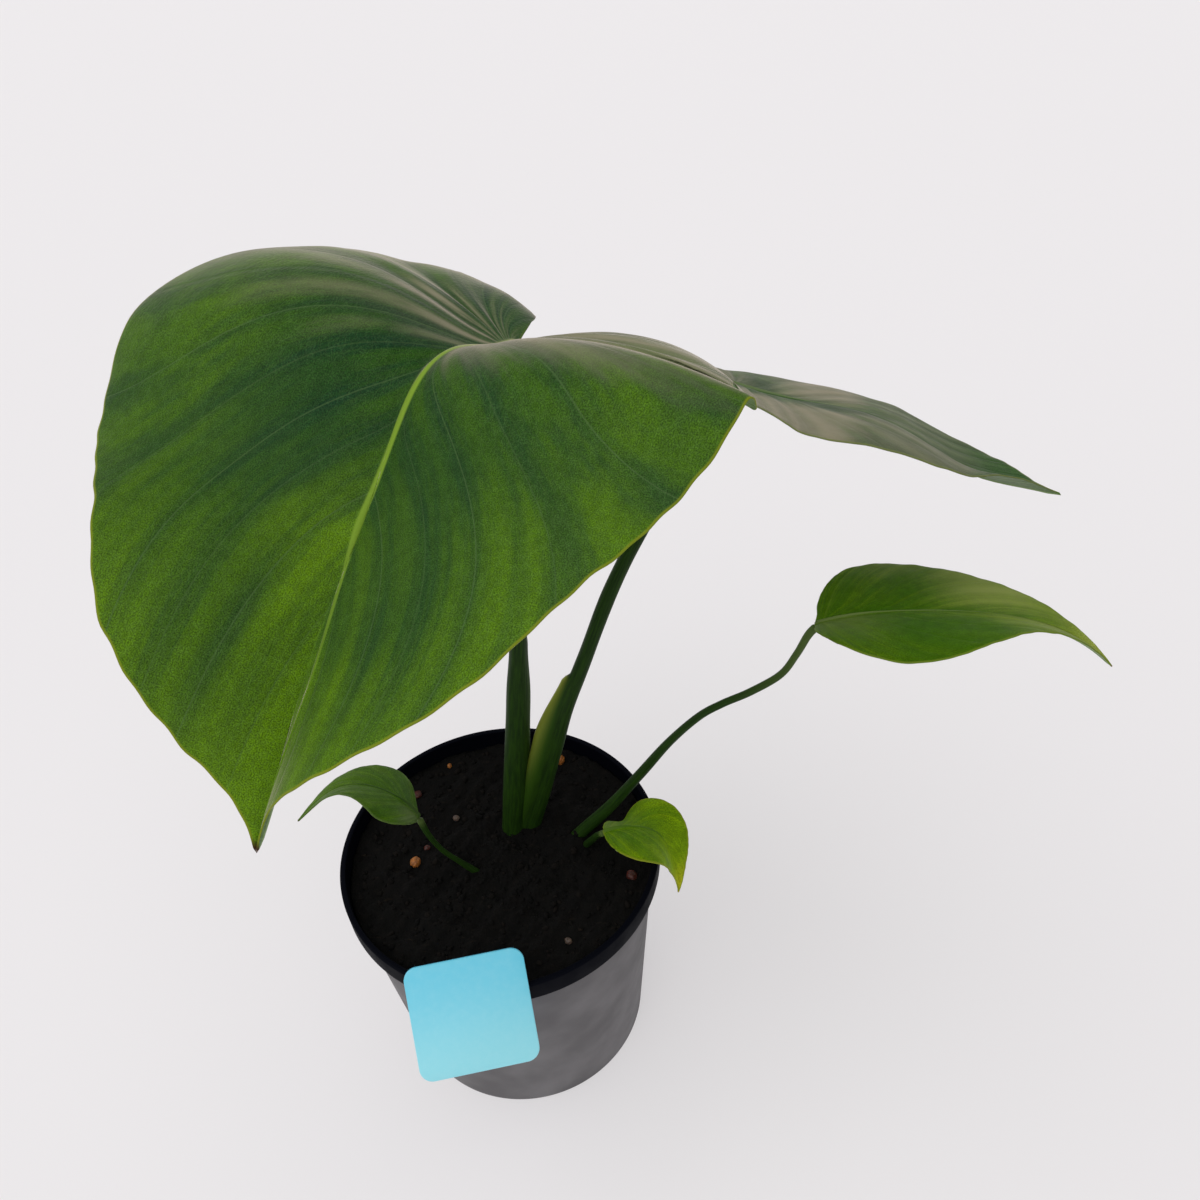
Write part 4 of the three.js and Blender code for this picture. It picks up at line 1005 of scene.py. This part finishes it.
def leaf_top(name, look, size):
    sheen = dict(Sheen_Weight=look["sheen"], Sheen_Roughness=SHEEN_ROUGHNESS, Sheen_Tint=SHEEN_TINT)
    m = Shader(f"{name}_top", Specular_IOR_Level=look["gloss"], **sheen)
    spot, side, phase, off, vein, edge, rib, reach = leaf_marks(m)

    # Bands that follow the veins, darker in the sunken veins partly as painted shade, then broad patches
    # of random tone and painted light towards the margin, the tip and, more on the right hand, beside the
    # midrib
    painted_light = look["painted_light"]
    flow = m.node("CombineXYZ", m.times(phase, 2), m.times(rib, 0.03), side).outputs[0]
    streaks = m.noise(flow, 1, 4, 0.6)
    threads = m.noise(flow, 4.5, 3, 0.6)
    uneven = m.scaled(threads, 0.9, m.scaled(streaks, 2, -1.15))
    band = m.scaled(off, 0.9 * look["bands"], uneven)
    colour = m.mix(m.step(band, 0, 1), look["dark"], look["mid"])
    # Painted light: paler towards the margin, the tip and beside the midrib
    outer = m.times(m.step(rib, 18 * size, 62 * size), 0.4 * painted_light)
    low = m.times(m.step(reach, 0.3, 0.9), 0.55 * painted_light)
    inner = m.step(rib, 3, 26, 1, 0), m.step(reach, 0.3, 0.55, 0, 0.8 * painted_light)
    inner = m.times(*inner, m.step(side, -MM, 2 * MM, 0.4, 1))
    broad = m.step(m.noise(spot, 20 / size, 2), 0.36, 0.62, 0, 0.22)
    lit = m.plus(m.plus(broad, outer), m.plus(low, inner))
    lit = m.times(lit, m.step(band, 0, 1, 0.4, 1))
    colour = m.mix(m.math("MINIMUM", lit, 1), colour, look["bright"])
    colour = m.mix(m.step(reach, 0.7, 1, 0, 0.8), colour, look["end"])

    # Net, patches of painted shade, grain and mottle, then patches of a painted sheen
    net = m.net(spot, NET_SCALE, 0.16)
    colour = m.mix(m.scaled(net, -NET_SHARE, NET_SHARE), colour, look["vein"])
    places = side, reach, streaks, off
    # Painted shade in patches, in the blade's dark colour
    colour = m.mix(leaf_patches(m, size, *places, SHADE_SOFT, look["shade"]), colour, look["dark"])
    grain = m.noise(spot, GRAIN_SCALE, 2, 0.75)
    mottle = m.step(m.noise(spot, MOTTLE_SCALE, 4, 0.65), 0.3, 0.7, 0.87, 1.13)
    colour = m.shaded(colour, m.times(m.step(grain, 0.32, 0.68, 0.5, 1.54), mottle))
    # Painted sheen: a pale tone on the ridges that stands in for light reflected at grazing angles
    colour = m.mix(leaf_patches(m, size, *places, look["soft"], look["painted_sheen"]), colour, look["haze"])

    # Side veins, every other one fainter, then the midrib, the margin and the tip
    main = m.math("SUBTRACT", 1, m.math("MODULO", m.math("ROUND", phase), 2))
    strength = m.scaled(main, 0.5 * look["vein_share"], 0.7 * look["vein_share"])
    colour = m.mix(m.times(m.step(vein, 0.05, 0.26, 1, 0), strength), colour, look["vein"])
    taper = m.math("POWER", m.step(reach, -0.02, 1, 1, 0), 0.8)
    half_width = m.scaled(taper, 0.8 * look["rib_width"], 0.2 * look["rib_width"])
    half_width = m.times(half_width, m.step(reach, 0, 0.2, 1.5, 1))
    rib_share = m.step(m.math("DIVIDE", rib, half_width), 0.5, 1.15, 1, 0)
    rib_share = m.times(rib_share, m.step(reach, -0.03, 0), m.step(reach, 0.3, 0.95, 1, 0.2))
    pale = m.step(reach, 0.06, 0.2, look.get("pale_rib", 0.05), 0)
    colour = m.mix(rib_share, colour, m.mix(pale, look["rib"], RIB_PALE))
    line = m.times(m.step(edge, 0.15, 0.65, 0.8, 0), m.step(reach, -0.1, 0.1))
    colour = m.mix(line, colour, look["margin"])
    m.set("Base Color", m.mix(m.step(reach, 0.975, 0.995), colour, look["tip"]))

    m.set("Roughness", m.step(m.noise(spot, 130 / size, 3), 0.3, 0.7, 0.46, 0.56))
    m.bump(m.step(vein, 0, 0.9), 0.05)
    m.bump(net, 0.02)
    m.bump(grain, 0.03)
    return m.material


def leaf_patches(m, size, side, reach, streaks, off, soft, patches):
    """Share of a tone that lies over the ridges in soft patches; the blades paint both their shade and
    their sheen with it.
    """
    across = m.times(m.math("ABSOLUTE", side), 1 / (size * FULL_LENGTH * MM))
    uneven = m.scaled(streaks, 0.16, -0.08)
    ridge = m.times(m.step(streaks, 0.3, 0.55, 0.35, 1), m.step(off, 0.16, 0.46))
    total = 0
    for hand, (start, end), (near, far), strength, between in patches:
        share = m.step(m.times(side, hand), -MM, MM, 0, strength)
        for place, low, high in ((reach, start, end), (across, near, far)):
            place = m.plus(place, uneven)
            rise = m.step(place, low - soft, low + soft)
            share = m.times(share, rise, m.step(place, high - soft, high + soft, 1, 0))
        share = m.times(share, m.scaled(ridge, 1 - between, between))
        total = m.math("MAXIMUM", total, share)
    return total


def leaf_under(name, look, size):
    m = Shader(f"{name}_under", roughness=0.6)
    spot, _, _, _, vein, _, rib, reach = leaf_marks(m)
    tint = m.mix(0.35, UNDERSIDE, look["bright"])
    colour = m.mix(m.step(m.noise(spot, 40 / size, 3), 0.35, 0.7, 0, 0.3), tint, look["mid"])
    colour = m.mix(m.step(vein, 0.2, 0.6, 0.75, 0), colour, UNDERSIDE_VEIN)
    net = m.net(spot, UNDER_NET_SCALE, 0.14)
    colour = m.mix(m.scaled(net, -UNDER_NET_SHARE, UNDER_NET_SHARE), colour, UNDERSIDE_VEIN)
    half_width = m.scaled(m.step(reach, -0.02, 1, 1, 0), 1.3, 0.5)
    rib_share = m.step(m.math("DIVIDE", rib, half_width), 0.8, 1.5, 1, 0)
    m.set("Base Color", m.mix(m.times(rib_share, m.step(reach, -0.03, 0)), colour, UNDERSIDE_VEIN))
    m.bump(m.step(vein, 0, 1, 1, 0), 0.3)
    m.bump(net, 0.04)
    return m.material


def stalk_material(name, pale_end, has_wing=False):
    """Green with long strands, paler at its end, and with a pale edge on a wing."""
    m = Shader(name, Specular_IOR_Level=0.1)
    stem, angle, way, end = m.mark("stem")
    crest = m.number("sheath")
    strands = m.noise(stem, 3.2, 3, 0.6, stretch=(1.6, 0.03, 0))
    flecks = m.step(m.noise(stem, 1, 4, 0.7, stretch=(2.4, 1.3, 0)), 0.5, 0.72)
    colour = m.mix(m.step(strands, 0.3, 0.75, 0, 0.8), STALK_DARK, STALK_LIGHT)
    colour = m.mix(m.times(flecks, 0.25), colour, STALK_LIGHT)
    colour = m.mix(m.step(end, 0, pale_end, 0.6, 0), colour, STALK_END)
    colour = m.mix(m.step(crest, 0.02, 0.5), colour, SHEATH_LIGHT)
    if has_wing:
        upper = m.times(m.step(way, 35, 68), m.step(crest, 0.02, 0.25))
        colour = m.mix(m.times(upper, m.step(angle, 3.1, 3.9, 0.9, 0)), colour, SHEATH_EDGE)
    m.set("Base Color", colour)
    m.bump(strands, 0.12)
    return m.material


def soil_material():
    m = Shader("potting_mix", roughness=0.95, Specular_IOR_Level=0.12)
    place = m.place()
    clumps = m.noise(place, 320, 5, 0.7)
    share = m.times(m.step(m.plus(m.times(m.number("tone"), 0.5), clumps), 0.55, 1.15), 0.85)
    fibres = m.step(m.noise(place, 900, 4, 0.7, stretch=(0.25, 1, 0.5)), 0.6, 0.75, 0, 0.25)
    m.set("Base Color", m.mix(fibres, m.mix(share, SOIL_DARK, SOIL_BROWN), SOIL_FIBRE))
    m.bump(clumps, 0.8)
    m.bump(m.noise(place, 2400, 3), 0.15)
    return m.material


def pot_material():
    m = Shader("pot_plastic", Specular_IOR_Level=0.02)
    place = m.place()
    x, y, height = m.parts(place)
    radius = m.math("SQRT", m.plus(m.math("POWER", x, 2), m.math("POWER", y, 2)))
    wall = m.scaled(height, (WALL_TOP_RADIUS - BASE_RADIUS) / SHOULDER, BASE_RADIUS * MM)
    outside = m.step(m.math("SUBTRACT", radius, wall), -1.1 * MM, -0.6 * MM)
    below_rim = m.step(height, (SHOULDER - 0.6) * MM, SHOULDER * MM, 1, 0)
    haze = m.step(m.noise(place, 45, 3), 0.3, 0.7, 0.82, 1.15)
    colour = m.mix(m.times(outside, below_rim), POT_BLACK, m.shaded(POT_WALL, haze))
    dust = m.step(m.noise(place, 700, 4, 0.7), 0.6, 0.8, 0, 0.05)
    m.set("Base Color", m.mix(dust, colour, POT_DUST))
    m.set("Roughness", m.step(m.noise(place, 160, 4), 0.3, 0.7, 0.48, 0.6))
    m.bump(m.noise(place, 900, 3), 0.02)
    return m.material


def card_material():
    m = Shader("card", roughness=0.36)
    local, _, y, z = m.mark("card")
    half = CARD_HEIGHT / 2 * MM
    # Paler towards the foot: a painted reflection
    colour = m.mix(m.step(y, -half, half), CARD_FOOT_REFLECTION, CARD_TOP)
    worn = m.step(m.noise(local, 420, 4, 0.65), 0.35, 0.75, 0, 0.08)
    side = m.step(z, -0.9 * MM, -0.2 * MM, 0.55, 0)
    m.set("Base Color", m.mix(side, m.mix(worn, colour, CARD_WORN), CARD_SIDE))
    m.bump(m.noise(local, 1600, 3), 0.012)
    return m.material


def bead_material(name, colour):
    m = Shader(f"bead_{name}", Specular_IOR_Level=0.4, Subsurface_Weight=0.1)
    place = m.place()
    darker = tuple(c * 0.45 for c in colour)
    m.set("Base Color", m.mix(m.step(m.noise(place, 900, 4, 0.65), 0.35, 0.7), darker, colour))
    m.bump(m.noise(place, 1800, 4), 0.08)
    return m.material


def root_material():
    m = Shader("rootstock", roughness=0.85)
    place = m.place()
    darker = tuple(c * 0.5 for c in ROOT_BROWN)
    m.set("Base Color", m.mix(m.noise(place, 260, 5, 0.7), darker, ROOT_BROWN))
    m.bump(m.noise(place, 400, 4), 0.5)
    return m.material


def floor_material():
    light = dict(Emission_Color=SURROUND, Emission_Strength=FLOOR_GLOW)
    return Shader("floor", 0.65, Specular_IOR_Level=0.2, Base_Color=FLOOR_COLOUR, **light).material


# The plant

def build_plant():
    plain = stalk_material("stalk", 5)
    finishes = {
        "behind": stalk_material("sheathed_stalk", 10, has_wing=True),
        "right": stalk_material("olive_stalk", 48),
    }
    for name, leaf in LEAVES.items():
        look = LEAF_LOOKS[name]
        size = leaf["length"] / FULL_LENGTH
        faces = leaf_top(name, look, size), leaf_under(name, look, size)
        blade = blade_piece(f"leaf_{name}", leaf, look["rib_width"])
        place_piece(blade, f"blade_{name}", leaf["slot"], *faces)
        stalk = stalk_piece(f"stalk_{name}", leaf)
        place_piece(stalk, f"petiole_{name}", leaf.get("stalk_slot", "stalk"), finishes.get(name, plain))


def build_pot():
    place_piece(pot_piece(), "pot", "pot_plastic", pot_material())
    place_piece(soil_piece(), "soil", "potting_mix", soil_material())
    finishes = {name: bead_material(name, colour) for name, colour in BEAD_COLOURS.items()}
    for k, bead in enumerate(BEADS, 1):
        place_piece(bead_piece(k, bead), f"bead_{k}", f"bead_{bead[4]}", finishes[bead[4]])
    place_piece(card_piece(), "label", "card", card_material())
    root = bpy.data.objects["rootstock"]
    for slot in root.material_slots:
        slot.material = root_material()


# Stage

def surround_world():
    """Dim all round, and bright low down behind the plant, as a lit backdrop would be."""
    world = bpy.data.worlds.new("surround")
    world.use_nodes = True
    m = Nodes(world.node_tree)
    _, y, z = m.parts(m.node("TexCoord").outputs["Generated"])
    back = m.times(m.step(y, *BACKDROP_SIDE), m.step(z, *BACKDROP_TOP, 1, 0))
    ground = m.tree.nodes["Background"]
    m.feed(ground.inputs["Strength"], m.scaled(back, BACK_LIGHT - FRONT_LIGHT, FRONT_LIGHT))
    m.feed(ground.inputs["Color"], SURROUND)
    bpy.context.scene.world = world


def soft_sun():
    light = bpy.data.lights.new("overhead", "SUN")
    light.energy = SUN_POWER
    light.angle = math.radians(SUN_SPREAD)
    lamp = linked("overhead", light)
    lamp.rotation_euler = Vector(SUN_FROM).to_track_quat("Z", "Y").to_euler()


def build_stage():
    corners = np.array([(-1, -1, 0), (1, -1, 0), (1, 1, 0), (-1, 1, 0)]) * FLOOR_REACH
    floor = mesh_piece("floor", corners, [[0, 1, 2, 3]])
    floor.data.materials.append(floor_material())
    surround_world()
    soft_sun()


def build_camera():
    data = bpy.data.cameras.new("camera")
    data.sensor_fit = "HORIZONTAL"
    data.angle = math.radians(CAMERA_FIELD)
    data.clip_start = 0.01
    camera = linked("camera", data)
    tilt = Matrix.Rotation(math.radians(90 - CAMERA_PITCH), 4, "X")
    tilt = tilt @ Matrix.Rotation(math.radians(CAMERA_ROLL), 4, "Z")
    camera.matrix_world = Matrix.Translation(Vector(CAMERA_PLACE) * MM) @ tilt
    bpy.context.scene.camera = camera
    bpy.context.scene.view_settings.view_transform = "Standard"


build_camera()
build_plant()
build_pot()
build_stage()
